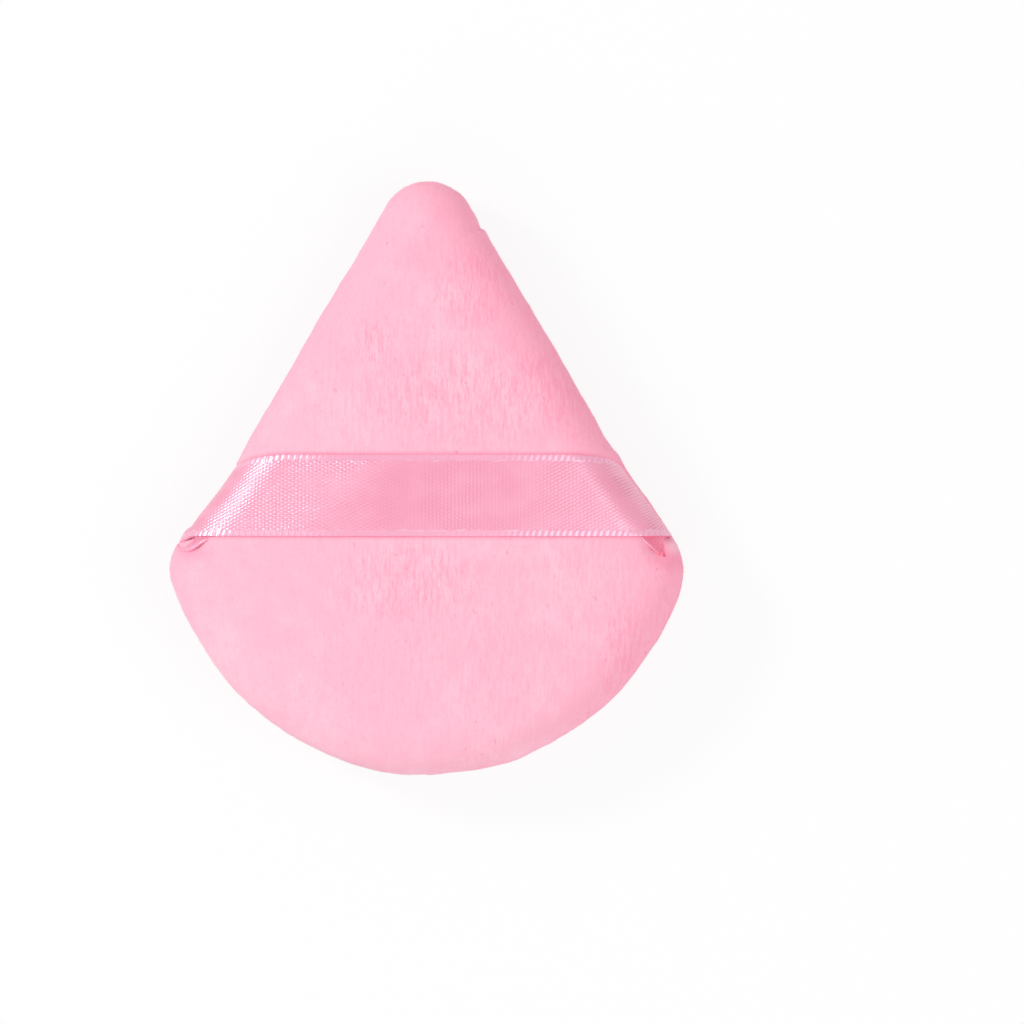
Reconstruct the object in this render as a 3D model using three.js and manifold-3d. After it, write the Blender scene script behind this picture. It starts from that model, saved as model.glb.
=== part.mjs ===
// A velour make-up powder puff with a satin finger strap.
// The puff lies flat on its back, with its strap side up (+Z) and its pointed tip towards +Y.
// Two velour panels are sewn together face to face, turned out through a gap in the right side,
// filled with a foam core and closed by hand. The strap is caught in the seam on both sides.
// Lengths are in millimetres. Heights are counted from the seam plane, halfway up the pad,
// until the last lines lift the whole puff onto its flattened back.

import * as THREE from 'three';
import { mergeVertices } from 'three/addons/utils/BufferGeometryUtils.js';
import Module from 'manifold-3d';

const wasm = await Module();
wasm.setup();

// Outline of the pad, seen from above
const padLength = 70;
const tipRadius = 5.5;
const cornerRadius = 5.5;
const baseRadius = 31.1;
const cornerTilt = THREE.MathUtils.degToRad(14.85);
const sideDrawIn = 0.6;
const waistShare = 0.68;

// Height of the pad above and below its seam plane
const edgeHeight = 5.25;
const crownHeight = 1.5;
const edgeRoundShare = 0.91;
const seamGrooveDepth = 0.8;
const widestLineHeight = 1.2;
const restFlatDepth = 0.5;

// Velour and its turned-in seam allowance
const velourThickness = 1.3;
const allowanceThickness = 1;
const allowanceWidth = 4;
const clothGap = 0.3;

// Satin strap
const strapWidth = 9.5;
const strapThickness = 0.4;
const strapCentreY = -2;
const strapProud = 0.6;
const strapTailMargin = 0.8;

// Sewing thread
const threadDiameter = 0.4;
const threadClearance = 0.1;
const threadSides = 5;
const stitchInset = 2.3;
const stitchLength = 5;
const loopHalfLength = 0.12;
const loopTopHalfLength = 0.45;
const turningGapTipMargin = 5.4;
const turningGapStrapMargin = 2.15;
const closingStitchLength = 4;
const closingInset = 1;
const closingHeight = 0.75;
const closingStartMargin = 1;

// Overrun of every cutting block
const overrun = 1;

// Number of steps round the outline, over the edge and along the strap
const baseSteps = 9;
const cornerSteps = 4;
const sideSteps = 7;
const tipSteps = 5;
const outerEdgeAngles = [90, 50, 22, 0, -45, -90].map(THREE.MathUtils.degToRad);
const innerEdgeAngles = [90, 35, 0].map(THREE.MathUtils.degToRad);
const outerCrownShares = [0.35, 0.7];
const innerCrownShares = [0.5];
const strapArcSteps = 24;
const strapUpperStride = 4;
const strapLowerStride = 6;
const strapAcross = 4;
const bandSteps = 12;
const seamCurveDivisions = 2000;

// Colours seen in the photograph, and the usual off-white of cosmetic foam
const velourColour = 0xfdbbcf;
const satinColour = 0xfbacc5;
const threadColour = 0xf7a5bf;
const foamColour = 0xf3ece0;

// Values that follow from the sizes above
const edgeRound = edgeRoundShare * Math.min(tipRadius, cornerRadius);
const seamHalfGap = clothGap / 2;
const allowanceTop = seamHalfGap + allowanceThickness;
const threadRadius = threadDiameter / 2;
const seamRunHeight = allowanceTop + threadClearance + threadRadius;
const seamLoopHeight = threadRadius + threadClearance / 2;
const strapTopY = strapCentreY + strapWidth / 2;
const strapFootY = strapCentreY - strapWidth / 2;
const turningGapTopY = padLength / 2 - turningGapTipMargin;
const turningGapFootY = strapTopY + turningGapStrapMargin;
const tipCentre = new THREE.Vector2(0, padLength / 2 - tipRadius);
const baseCentre = new THREE.Vector2(0, baseRadius - padLength / 2);
const cornerCentre = new THREE.Vector2(
  (baseRadius - cornerRadius) * Math.cos(cornerTilt),
  baseCentre.y - (baseRadius - cornerRadius) * Math.sin(cornerTilt),
);

// Outward direction of the straight line that touches the tip arc and the corner arc
const tipToCorner = cornerCentre.clone().sub(tipCentre);
const sideAngle = tipToCorner.angle() - 2 * Math.PI + Math.PI / 2
  + Math.asin((cornerRadius - tipRadius) / tipToCorner.length());
const sideNormal = new THREE.Vector2(Math.cos(sideAngle), Math.sin(sideAngle));
const waistPower = Math.log(0.5) / Math.log(waistShare);

function arcPoint(centre, radius, angle) {
  return new THREE.Vector2(centre.x + radius * Math.cos(angle), centre.y + radius * Math.sin(angle));
}

// Point on the right side, inset from the outline, from the tip (0) to the corner (1)
function sidePoint(share, inset) {
  const start = tipCentre.clone().addScaledVector(sideNormal, tipRadius - inset);
  const end = cornerCentre.clone().addScaledVector(sideNormal, cornerRadius - inset);
  const drawIn = sideDrawIn * Math.sin(Math.PI * share ** waistPower) ** 2;
  return start.lerp(end, share).addScaledVector(sideNormal, -drawIn);
}

// The pad's outline moved inwards by inset, anticlockwise from the middle of the base.
// Every inset gives the same number of points, so the rings can be joined one to one.
function outline(inset, finer = 1) {
  const right = [];
  const bottom = -Math.PI / 2;
  for (let i = 0; i < baseSteps * finer; i++) {
    const angle = THREE.MathUtils.lerp(bottom, -cornerTilt, i / (baseSteps * finer));
    right.push(arcPoint(baseCentre, baseRadius - inset, angle));
  }
  for (let i = 0; i < cornerSteps * finer; i++) {
    const angle = THREE.MathUtils.lerp(-cornerTilt, sideAngle, i / (cornerSteps * finer));
    right.push(arcPoint(cornerCentre, cornerRadius - inset, angle));
  }
  for (let i = 0; i < sideSteps * finer; i++) {
    right.push(sidePoint(1 - i / (sideSteps * finer), inset));
  }
  for (let i = 0; i < tipSteps * finer; i++) {
    const angle = THREE.MathUtils.lerp(sideAngle, Math.PI / 2, i / (tipSteps * finer));
    right.push(arcPoint(tipCentre, tipRadius - inset, angle));
  }
  const tip = arcPoint(tipCentre, tipRadius - inset, Math.PI / 2);
  const left = right.slice(1).reverse().map((point) => new THREE.Vector2(-point.x, point.y));
  return [...right, tip, ...left];
}

// The crown is the product of the distances to the two sides and to the base, 1 at its top
const sideReach = sideNormal.dot(tipCentre) + tipRadius;
const crownCentre = new THREE.Vector2(0, (sideReach / sideNormal.y - padLength) / 3);

function crownProduct(x, y) {
  const rightDistance = sideReach - sideNormal.x * x - sideNormal.y * y;
  const leftDistance = sideReach + sideNormal.x * x - sideNormal.y * y;
  const baseDistance = y - baseCentre.y + Math.sqrt(baseRadius ** 2 - x ** 2);
  return rightDistance * leftDistance * baseDistance;
}

function crownRise(x, y) {
  const share = crownProduct(x, y) / crownProduct(crownCentre.x, crownCentre.y);
  return crownHeight * Math.max(share, 0);
}

// One ring of a pad surface that lies `skin` under the velour's face.
// angle runs over the rounded edge: 90 degrees on the face, 0 at the widest line, -90 at the seam.
function edgeRing(angle, skin, up) {
  const lift = Math.sin(angle);
  const reach = angle > 0 ? edgeRound - skin : seamGrooveDepth - skin;
  const inset = skin + reach * (1 - Math.cos(angle));
  return outline(inset).map((point) => {
    const faceHeight = edgeHeight + crownRise(point.x, point.y) - skin;
    const span = angle > 0 ? faceHeight - widestLineHeight : widestLineHeight - seamHalfGap;
    return new THREE.Vector3(point.x, point.y, up * (widestLineHeight + span * lift));
  });
}

// A ring of the face inside the rounded edge, drawn in towards the top of the crown
function crownRing(share, skin, up) {
  return outline(edgeRound).map((point) => {
    const place = crownCentre.clone().lerp(point, share);
    const height = edgeHeight + crownRise(place.x, place.y) - skin;
    return new THREE.Vector3(place.x, place.y, up * height);
  });
}

function levelRing(inset, height) {
  return outline(inset).map((point) => new THREE.Vector3(point.x, point.y, height));
}

function solidGeometry(points, triangles) {
  const geometry = new THREE.BufferGeometry();
  geometry.setAttribute('position', new THREE.Float32BufferAttribute(points.flatMap((p) => p.toArray()), 3));
  geometry.setIndex(triangles.flat());
  geometry.computeVertexNormals();
  return geometry;
}

// Closed skin over a stack of rings, from one pole to the other; rings run anticlockwise from above
function ringsGeometry(firstPole, rings, lastPole, up) {
  const count = rings[0].length;
  const points = [firstPole, ...rings.flat(), lastPole];
  const last = points.length - 1;
  const triangles = [];
  const face = (a, b, c) => triangles.push(up > 0 ? [a, b, c] : [a, c, b]);
  for (let i = 0; i < count; i++) {
    const next = (i + 1) % count;
    face(0, 1 + i, 1 + next);
    for (let ring = 1; ring < rings.length; ring++) {
      const near = 1 + (ring - 1) * count;
      const far = near + count;
      face(near + i, far + i, far + next);
      face(near + i, far + next, near + next);
    }
    const edge = 1 + (rings.length - 1) * count;
    face(edge + i, last, edge + next);
  }
  return solidGeometry(points, triangles);
}

function crownPole(skin, up) {
  return new THREE.Vector3(crownCentre.x, crownCentre.y, up * (edgeHeight + crownHeight - skin));
}

// A velour panel: its face, its rounded edge, and its seam allowance turned in along the seam plane
function panelGeometry(up) {
  const rings = [
    ...outerCrownShares.map((share) => crownRing(share, 0, up)),
    ...outerEdgeAngles.map((angle) => edgeRing(angle, 0, up)),
    levelRing(allowanceWidth, up * seamHalfGap),
    levelRing(allowanceWidth, up * allowanceTop),
    levelRing(velourThickness, up * allowanceTop),
    ...innerEdgeAngles.toReversed().slice(1).map((angle) => edgeRing(angle, velourThickness, up)),
    ...innerCrownShares.toReversed().map((share) => crownRing(share, velourThickness, up)),
  ];
  return ringsGeometry(crownPole(0, up), rings, crownPole(velourThickness, up), up);
}

// The foam core fills the panels and is slotted round its rim for the two seam allowances
function foamGeometry() {
  const skin = velourThickness + clothGap;
  const slotTop = seamRunHeight + threadRadius + threadClearance;
  const slotInset = allowanceWidth + clothGap;
  const faceRings = (up) => [
    ...innerCrownShares.map((share) => crownRing(share, skin, up)),
    ...innerEdgeAngles.slice(0, -1).map((angle) => edgeRing(angle, skin, up)),
  ];
  const rimAngle = Math.asin((slotTop - widestLineHeight) / (edgeHeight - skin - widestLineHeight));
  const rimInset = skin + (edgeRound - skin) * (1 - Math.cos(rimAngle));
  const rings = [
    ...faceRings(1),
    levelRing(rimInset, slotTop),
    levelRing(slotInset, slotTop),
    levelRing(slotInset, -slotTop),
    levelRing(rimInset, -slotTop),
    ...faceRings(-1).toReversed(),
  ];
  return ringsGeometry(crownPole(skin, 1), rings, crownPole(skin, -1), 1);
}

// Booleans
function toSolid(geometry) {
  const bare = geometry.clone();
  bare.deleteAttribute('normal');
  bare.deleteAttribute('uv');
  const merged = mergeVertices(bare);
  return new wasm.Manifold(new wasm.Mesh({
    numProp: 3,
    vertProperties: new Float32Array(merged.attributes.position.array),
    triVerts: new Uint32Array(merged.index.array),
  }));
}

function cut(geometry, cutters) {
  let solid = toSolid(geometry);
  for (const cutter of cutters) {
    solid = solid.subtract(toSolid(cutter));
  }
  const mesh = solid.getMesh();
  const result = new THREE.BufferGeometry();
  result.setAttribute('position', new THREE.BufferAttribute(new Float32Array(mesh.vertProperties), 3));
  result.setIndex(new THREE.BufferAttribute(new Uint32Array(mesh.triVerts), 1));
  result.computeVertexNormals();
  return result;
}

// Block that flattens the back where the puff rests
function restBlock() {
  const depth = restFlatDepth + overrun;
  const size = padLength + 2 * overrun;
  const block = new THREE.BoxGeometry(size, size, depth);
  return block.translate(0, 0, restFlatDepth - edgeHeight - crownHeight - depth / 2);
}

// The strap crosses the right side along a chord of the outline between its own two edges
const fineOutline = outline(0, 4);

function outlineXAt(y) {
  for (let i = 1; i < fineOutline.length; i++) {
    const low = fineOutline[i - 1];
    const high = fineOutline[i];
    if (low.x > 0 && high.x > 0 && low.y <= y && high.y > y) {
      return THREE.MathUtils.mapLinear(y, low.y, high.y, low.x, high.x);
    }
  }
  return 0;
}

const chordTop = new THREE.Vector2(outlineXAt(strapTopY), strapTopY);
const chordFoot = new THREE.Vector2(outlineXAt(strapFootY), strapFootY);
const foldAlong = chordFoot.clone().sub(chordTop).normalize();
const foldOut = new THREE.Vector2(-foldAlong.y, foldAlong.x);

// How far the outline stands out from the chord, at a distance along it
const outlineRises = fineOutline
  .filter((point) => point.x > padLength / 8)
  .map((point) => point.clone().sub(chordTop))
  .map((offset) => ({ along: offset.dot(foldAlong), out: offset.dot(foldOut) }));

function outlineRise(along) {
  for (let i = 1; i < outlineRises.length; i++) {
    const far = outlineRises[i - 1];
    const near = outlineRises[i];
    if (near.along <= along && far.along > along) {
      return THREE.MathUtils.mapLinear(along, near.along, far.along, near.out, far.out);
    }
  }
  return 0;
}

function strapTopHeight(x, y) {
  return edgeHeight + crownRise(x, y) + clothGap + strapThickness / 2;
}

function strapHeight(lift, topHeight) {
  return widestLineHeight + lift * (lift > 0 ? topHeight - widestLineHeight : widestLineHeight);
}

// The strap's line across its fold: over the rounded edge, round the lip and into the seam.
// Each station holds its length along the strap, its distance out from the chord and its lift.
function foldStations(tailInset) {
  const faceEdge = chordTop.clone().lerp(chordFoot, 0.5).addScaledVector(foldOut, -edgeRound);
  const topHeight = strapTopHeight(faceEdge.x, faceEdge.y);
  const stations = [];
  const add = (out, lift) => {
    const height = strapHeight(lift, topHeight);
    const before = stations.at(-1);
    const step = before ? Math.hypot(out - before.out, height - before.height) : 0;
    stations.push({ out, lift, height, length: (before ? before.length : 0) + step });
  };
  for (let i = 0; i <= strapArcSteps; i++) {
    const angle = (1 - i / strapArcSteps) * Math.PI / 2;
    add((edgeRound + strapProud) * Math.cos(angle) - edgeRound, Math.sin(angle));
  }
  for (let i = 1; i <= strapArcSteps; i++) {
    const angle = -i / strapArcSteps * Math.PI / 2;
    add((seamGrooveDepth + strapProud) * Math.cos(angle) - seamGrooveDepth, Math.sin(angle));
  }
  add(-tailInset, -1);
  return stations;
}

// Place of a strap point in space. The strap is a flat strip that lies along X on the face and
// bends without stretching about an axis parallel to the side, so its edges slant at the fold.
function foldPoint(station, across, side) {
  const flatY = strapCentreY + across;
  const flatOut = station.length - edgeRound;
  const flatX = chordTop.x + (flatOut - foldOut.y * (flatY - chordTop.y)) / foldOut.x;
  const along = new THREE.Vector2(flatX, flatY).sub(chordTop).dot(foldAlong);
  const grip = THREE.MathUtils.smoothstep(station.out, -edgeRound, 0);
  const out = station.out + (station.lift > 0 ? grip : 1) * outlineRise(along);
  const plan = chordTop.clone().addScaledVector(foldAlong, along).addScaledVector(foldOut, out);
  const height = strapHeight(station.lift, strapTopHeight(plan.x, plan.y));
  return new THREE.Vector3(side * plan.x, plan.y, height);
}

// Closed sheet of even thickness round a grid of points, rows first
function sheetGeometry(grid, thickness) {
  const rows = grid.length;
  const columns = grid[0].length;
  const clampRow = (i) => grid[THREE.MathUtils.clamp(i, 0, rows - 1)];
  const clampColumn = (row, j) => row[THREE.MathUtils.clamp(j, 0, columns - 1)];
  const normalAt = (i, j) => {
    const alongRows = clampRow(i + 1)[j].clone().sub(clampRow(i - 1)[j]);
    const alongColumns = clampColumn(grid[i], j + 1).clone().sub(clampColumn(grid[i], j - 1));
    return alongRows.cross(alongColumns).normalize();
  };
  const skin = (offset) => grid.flatMap((row, i) => row.map((point, j) => (
    point.clone().addScaledVector(normalAt(i, j), offset))));
  const points = [...skin(thickness / 2), ...skin(-thickness / 2)];
  const under = rows * columns;
  const at = (i, j) => i * columns + j;
  const triangles = [];
  const quad = (a, b, c, d) => triangles.push([a, b, c], [a, c, d]);
  for (let i = 0; i + 1 < rows; i++) {
    for (let j = 0; j + 1 < columns; j++) {
      quad(at(i, j), at(i + 1, j), at(i + 1, j + 1), at(i, j + 1));
      quad(under + at(i, j), under + at(i, j + 1), under + at(i + 1, j + 1), under + at(i + 1, j));
    }
    const end = columns - 1;
    quad(at(i, 0), under + at(i, 0), under + at(i + 1, 0), at(i + 1, 0));
    quad(at(i, end), at(i + 1, end), under + at(i + 1, end), under + at(i, end));
  }
  for (let j = 0; j + 1 < columns; j++) {
    const end = rows - 1;
    quad(at(0, j), at(0, j + 1), under + at(0, j + 1), under + at(0, j));
    quad(at(end, j), under + at(end, j), under + at(end, j + 1), at(end, j + 1));
  }
  return solidGeometry(points, triangles);
}

function foldGrid(stations, width, side) {
  return stations.map((station) => {
    const row = [];
    for (let j = 0; j <= strapAcross; j++) {
      row.push(foldPoint(station, side * width * (j / strapAcross - 0.5), side));
    }
    return row;
  });
}

function strapEndGeometry(side) {
  const stations = foldStations(allowanceWidth - strapTailMargin);
  const kept = stations.filter((station, i) => (
    i <= strapArcSteps ? i % strapUpperStride === 0 : (i - strapArcSteps) % strapLowerStride === 0));
  return sheetGeometry(foldGrid([...kept, stations.at(-1)], strapWidth, side), strapThickness);
}

// Room for the strap's tail between the seam allowances, one clearance larger all round
function strapPocket(side) {
  const stations = foldStations(allowanceWidth - strapTailMargin + clothGap);
  const lip = stations.filter((station, i) => (
    i >= strapArcSteps + strapLowerStride && (i - strapArcSteps) % strapLowerStride === 0));
  const grid = foldGrid([...lip, stations.at(-1)], strapWidth + 2 * clothGap, side);
  return sheetGeometry(grid, strapThickness + 2 * clothGap);
}

// The free middle of the strap, which a finger lifts
function bandGeometry() {
  const splitOut = -edgeRound - clothGap;
  const grid = [];
  for (let i = 0; i <= bandSteps; i++) {
    const row = [];
    for (let j = 0; j <= strapAcross; j++) {
      const y = strapCentreY + strapWidth * (j / strapAcross - 0.5);
      const splitX = chordTop.x + (splitOut - foldOut.y * (y - chordTop.y)) / foldOut.x;
      const x = splitX * (2 * i / bandSteps - 1);
      row.push(new THREE.Vector3(x, y, strapTopHeight(x, y)));
    }
    grid.push(row);
  }
  return sheetGeometry(grid, strapThickness);
}

// Curve through a list of points, with one step from each point to the next
class StationCurve extends THREE.Curve {
  constructor(points) {
    super();
    this.points = points;
  }

  getUtoTmapping(share) {
    return share;
  }

  getPoint(share) {
    const place = THREE.MathUtils.clamp(share, 0, 1) * (this.points.length - 1);
    const index = Math.min(Math.floor(place), this.points.length - 2);
    return this.points[index].clone().lerp(this.points[index + 1], place - index);
  }
}

function threadGeometry(points, radius) {
  const corners = [];
  for (let i = 0; i < threadSides; i++) {
    const angle = 2 * Math.PI * i / threadSides;
    corners.push(new THREE.Vector2(radius * Math.cos(angle), radius * Math.sin(angle)));
  }
  return new THREE.ExtrudeGeometry(new THREE.Shape(corners), {
    steps: points.length - 1,
    extrudePath: new StationCurve(points),
  });
}

// Closed line round the pad at an inset, measured along its length
function seamLine(inset) {
  const points = outline(inset, 2).map((point) => new THREE.Vector3(point.x, point.y, 0));
  const curve = new THREE.CatmullRomCurve3(points, true);
  curve.arcLengthDivisions = seamCurveDivisions;
  return curve;
}

// Distance along a seam line at which its right side reaches a height on the page
function distanceAtY(line, y) {
  const length = line.getLength();
  for (let i = 0; i < seamCurveDivisions; i++) {
    const point = line.getPointAt(i / seamCurveDivisions);
    if (point.x > 0 && point.y >= y) {
      return length * i / seamCurveDivisions;
    }
  }
  return 0;
}

function seamFrame(line, distance) {
  const share = (distance / line.getLength()) % 1;
  return { point: line.getPointAt(share), along: line.getTangentAt(share) };
}

// The machine seam runs from the top of the turning gap round the pad to the gap's foot
const stitchLine = seamLine(stitchInset);
const seamStart = distanceAtY(stitchLine, turningGapTopY);
const seamEnd = distanceAtY(stitchLine, turningGapFootY) + stitchLine.getLength();
const stitchCount = Math.round((seamEnd - seamStart) / stitchLength);
const stitchPitch = (seamEnd - seamStart) / stitchCount;
const stitchCentres = Array.from({ length: stitchCount }, (_, i) => seamStart + (i + 0.5) * stitchPitch);

function seamPoint(distance, height) {
  const { point } = seamFrame(stitchLine, distance);
  return new THREE.Vector3(point.x, point.y, height);
}

// Needle thread (up = 1) or bobbin thread (up = -1): runs along its allowance and dips at each hole
function seamThreadPoints(up) {
  const run = up * seamRunHeight;
  const loop = up * seamLoopHeight;
  const dips = stitchCentres.flatMap((centre) => [
    seamPoint(centre - loopTopHalfLength, run),
    seamPoint(centre - loopHalfLength, loop),
    seamPoint(centre + loopHalfLength, loop),
    seamPoint(centre + loopTopHalfLength, run),
  ]);
  return [seamPoint(seamStart, run), ...dips, seamPoint(seamEnd, run)];
}

// One slot per needle hole, right through both allowances
function stitchSlots() {
  const length = 2 * (loopTopHalfLength + threadRadius + threadClearance);
  const width = 2 * (threadRadius + threadClearance);
  const height = 2 * allowanceTop + overrun;
  return stitchCentres.map((centre) => {
    const { point, along } = seamFrame(stitchLine, centre);
    const slot = new THREE.BoxGeometry(length, width, height);
    slot.rotateZ(Math.atan2(along.y, along.x));
    return slot.translate(point.x, point.y, 0);
  });
}

// Ladder stitch that closes the turning gap: it runs inside one folded edge, then the other
function closingPoints() {
  const line = seamLine(closingInset);
  const start = distanceAtY(line, turningGapFootY) + closingStartMargin;
  const end = distanceAtY(line, turningGapTopY) - closingStartMargin;
  const count = 2 * Math.round((end - start) / closingStitchLength / 2);
  const pitch = (end - start) / count;
  const points = [];
  for (let i = 0; i < count; i++) {
    const height = i % 2 === 0 ? closingHeight : -closingHeight;
    for (const share of [0.1, 0.9]) {
      const { point } = seamFrame(line, start + (i + share) * pitch);
      points.push(new THREE.Vector3(point.x, point.y, height));
    }
  }
  return points;
}

function material(colour, roughness) {
  return new THREE.MeshStandardMaterial({ color: colour, roughness, metalness: 0 });
}

const puff = new THREE.Group();
puff.position.z = edgeHeight + crownHeight - restFlatDepth;

function addPiece(name, geometry, colour, roughness) {
  const mesh = new THREE.Mesh(geometry, material(colour, roughness));
  mesh.name = name;
  puff.add(mesh);
}

const velourRoughness = 0.95;
const satinRoughness = 0.35;
const threadRoughness = 0.6;
const foamRoughness = 0.9;

const slots = stitchSlots();
const closingTunnel = threadGeometry(closingPoints(), threadRadius + threadClearance);
const seamRoom = [...slots, closingTunnel, strapPocket(1), strapPocket(-1)];

addPiece('front_velour_panel', cut(panelGeometry(1), seamRoom), velourColour, velourRoughness);
addPiece('back_velour_panel', cut(panelGeometry(-1), [...seamRoom, restBlock()]), velourColour, velourRoughness);
addPiece('foam_core', foamGeometry(), foamColour, foamRoughness);
addPiece('strap_band', bandGeometry(), satinColour, satinRoughness);
addPiece('strap_right_end', cut(strapEndGeometry(1), slots), satinColour, satinRoughness);
addPiece('strap_left_end', cut(strapEndGeometry(-1), slots), satinColour, satinRoughness);
addPiece('needle_thread', threadGeometry(seamThreadPoints(1), threadRadius), threadColour, threadRoughness);
addPiece('bobbin_thread', threadGeometry(seamThreadPoints(-1), threadRadius), threadColour, threadRoughness);
addPiece('closing_thread', threadGeometry(closingPoints(), threadRadius), threadColour, threadRoughness);

export default puff;
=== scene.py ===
"""Velour powder puff with a satin finger strap: the looks of its pieces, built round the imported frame."""

import math

import bpy
import numpy as np
from bpy.props import FloatProperty, FloatVectorProperty, IntProperty, PointerProperty
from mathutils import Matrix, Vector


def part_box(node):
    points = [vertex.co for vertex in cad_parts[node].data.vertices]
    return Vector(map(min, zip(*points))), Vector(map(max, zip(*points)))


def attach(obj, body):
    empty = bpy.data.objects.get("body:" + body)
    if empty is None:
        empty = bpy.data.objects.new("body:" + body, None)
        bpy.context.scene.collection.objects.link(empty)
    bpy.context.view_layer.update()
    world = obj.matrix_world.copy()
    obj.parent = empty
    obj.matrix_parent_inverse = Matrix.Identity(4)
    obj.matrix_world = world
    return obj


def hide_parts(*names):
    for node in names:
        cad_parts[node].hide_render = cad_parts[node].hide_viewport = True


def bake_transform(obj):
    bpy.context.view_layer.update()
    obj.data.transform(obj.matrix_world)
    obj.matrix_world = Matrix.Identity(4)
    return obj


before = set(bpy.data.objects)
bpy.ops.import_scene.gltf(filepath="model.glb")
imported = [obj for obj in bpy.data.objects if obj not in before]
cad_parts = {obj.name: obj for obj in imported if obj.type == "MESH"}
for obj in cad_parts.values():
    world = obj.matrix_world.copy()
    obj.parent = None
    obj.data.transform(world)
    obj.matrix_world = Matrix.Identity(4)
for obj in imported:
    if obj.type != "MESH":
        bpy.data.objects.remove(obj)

bl_info = {
    "name": "Velour Powder Puff",
    "version": (1, 0, 0),
    "blender": (4, 5, 0),
    "location": "3D View > Sidebar > Powder Puff",
    "description": "Builds the velour panels, foam, satin strap and threads of a powder puff",
    "category": "Add Mesh",
}

MM = 0.001
front_low, front_high = (np.array(corner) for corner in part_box("front_velour_panel"))
band_low, band_high = (np.array(corner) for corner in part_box("strap_band"))
PAD_LENGTH = front_high[1] - front_low[1]
SEAM_HEIGHT = (front_low[2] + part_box("back_velour_panel")[1][2]) / 2
PAD_TOP = front_high[2]
STRAP_WIDTH = band_high[1] - band_low[1]
STRAP_CENTRE_Y = (band_high[1] + band_low[1]) / 2
RIGHT, LEFT = 1, -1
FRONT, BACK = 1, -1

# Length of cloth that fills the UV square, and the bend from which an edge is drawn sharp
UV_SPAN = 0.1
SHARP_ANGLE = math.radians(60)
NO_TRIANGLES, NO_QUADS = np.zeros((0, 3), int), np.zeros((0, 4), int)

# Rings of a panel's outer side: on the face, over the edge, and from the widest line into the seam
FACE_ROWS, EDGE_ROWS, SEAM_ROWS = 91, 46, 14

# Spots of the pad as centre X, centre Y, reach along X and reach along Y, in millimetres
NAP_PATCHES = ((5.5, 22, 5, 6), (7, 10, 17, 6), (-2.5, -12, 9, 5), (23, -20, 3, 7), (-6, 16, 3, 3))
RIGHT_PINCH, LEFT_PINCH = (27.2, -7.9, 1.3, 1.2), (-27.6, -7.6, 1.7, 1.0)

# Weights and places of spots of painted light and shade: painted shade in the dents at the left and
# right end of the strap, a painted highlight on a tuft beside the right one and a darker spot near the tip
PAINTED_SPOTS = (
    (0.5, (-27.3, -8.9, 2.0, 0.7)),
    (0.9, (28.2, -9.6, 1.6, 0.8)),
    (-0.7, (29.1, -7.8, 0.7, 1.4)),
    (0.25, (-1.2, 25.8, 1.8, 2.2)),
)

# Direction on the page that the painted shade on the pile's edges faces, in radians from X; the edges that
# face the other way get painted light
SHADE_TURN = 0.35

# How far the sewn outline lies outside the drawn one in millimetres, by share of the way round it,
# anticlockwise from the middle of the base
SEWING_DRIFT = (
    (0.000, -0.20), (0.013, -0.25), (0.024, -0.28), (0.036, -0.06), (0.058, -0.08), (0.074, -0.26),
    (0.092, -0.28), (0.122, -0.15), (0.149, -0.24), (0.171, -0.05), (0.194, 0.09), (0.212, 0.00),
    (0.225, -0.22), (0.242, -0.08), (0.256, 0.02), (0.335, 0.06), (0.400, -0.05), (0.440, 0.03),
    (0.452, 0.10), (0.468, 0.19), (0.484, -0.02), (0.500, -0.09),
    (0.520, -0.02), (0.540, -0.10), (0.556, -0.28), (0.600, -0.27), (0.640, -0.24), (0.668, -0.16),
    (0.690, -0.22), (0.720, -0.25), (0.760, -0.20), (0.780, -0.06), (0.795, 0.00), (0.808, -0.04),
    (0.828, -0.28), (0.847, -0.41), (0.865, -0.35), (0.905, -0.37), (0.930, -0.30), (0.955, -0.20),
    (0.975, -0.11), (0.990, -0.12), (1.000, -0.20),
)

# Start, deepest place and end of the small step where the hand-closed part ends, as shares too
CLOSING_STEP = (0.4520, 0.4538, 0.4635)

# Return folds of the ribbon in millimetres: the stretch of the strap's lower edge that each hangs
# from, its two lower corners, its rise over the pile and its bulge towards the base
FOLD_SPAN = {RIGHT: (24.0, 28.1), LEFT: (24.9, 29.25)}
FOLD_FOOT = {RIGHT: ((27.4, -9.1), (27.85, -9.15)), LEFT: ((-25.3, -7.1), (-29.35, -8.1))}
FOLD_RISE = {RIGHT: 0.08, LEFT: 0.32}
FOLD_BELLY = {RIGHT: 0.0, LEFT: 0.95}

# Line that the weave on the folds is counted from, in millimetres, and its stretch along X and Y
FOLD_WEAVE_Y, FOLD_WEAVE_STRETCH = -7.7, (2.13, 0.76)

# How far the folds start under the middle of the strap, and how far their border dips
FOLD_DROP, FOLD_DIP = 0.26 * MM, 0.3 * MM

# How far the strap's left end shifts towards the base at its lower edge
TIP_SHIFT = 0.8 * MM

# Loose fibres: half width, depth of the root, lowest height over the floor, and clear strip along
# the strap in millimetres
FIBRE_WIDTH, FIBRE_ROOT, LOWEST_FIBRE, FIBRE_CLEARANCE = 0.022 * MM, 0.02 * MM, 0.7 * MM, 0.6

# Foam: room over the seam allowances, and depth of its open cells
SLOT_ROOM, PIT_DEPTH = 0.8 * MM, 0.12 * MM

# Stage in metres: the camera's place, the width that it shows at the height of the seam, and half
# the floor's width, then the strength of the light from all round
CAMERA_PLACE = (0.0100, -0.00394, 0.9)
CAMERA_FIELD = 0.12047
FLOOR_REACH = 1.5
ROOM_LIGHT = 0.58

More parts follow.
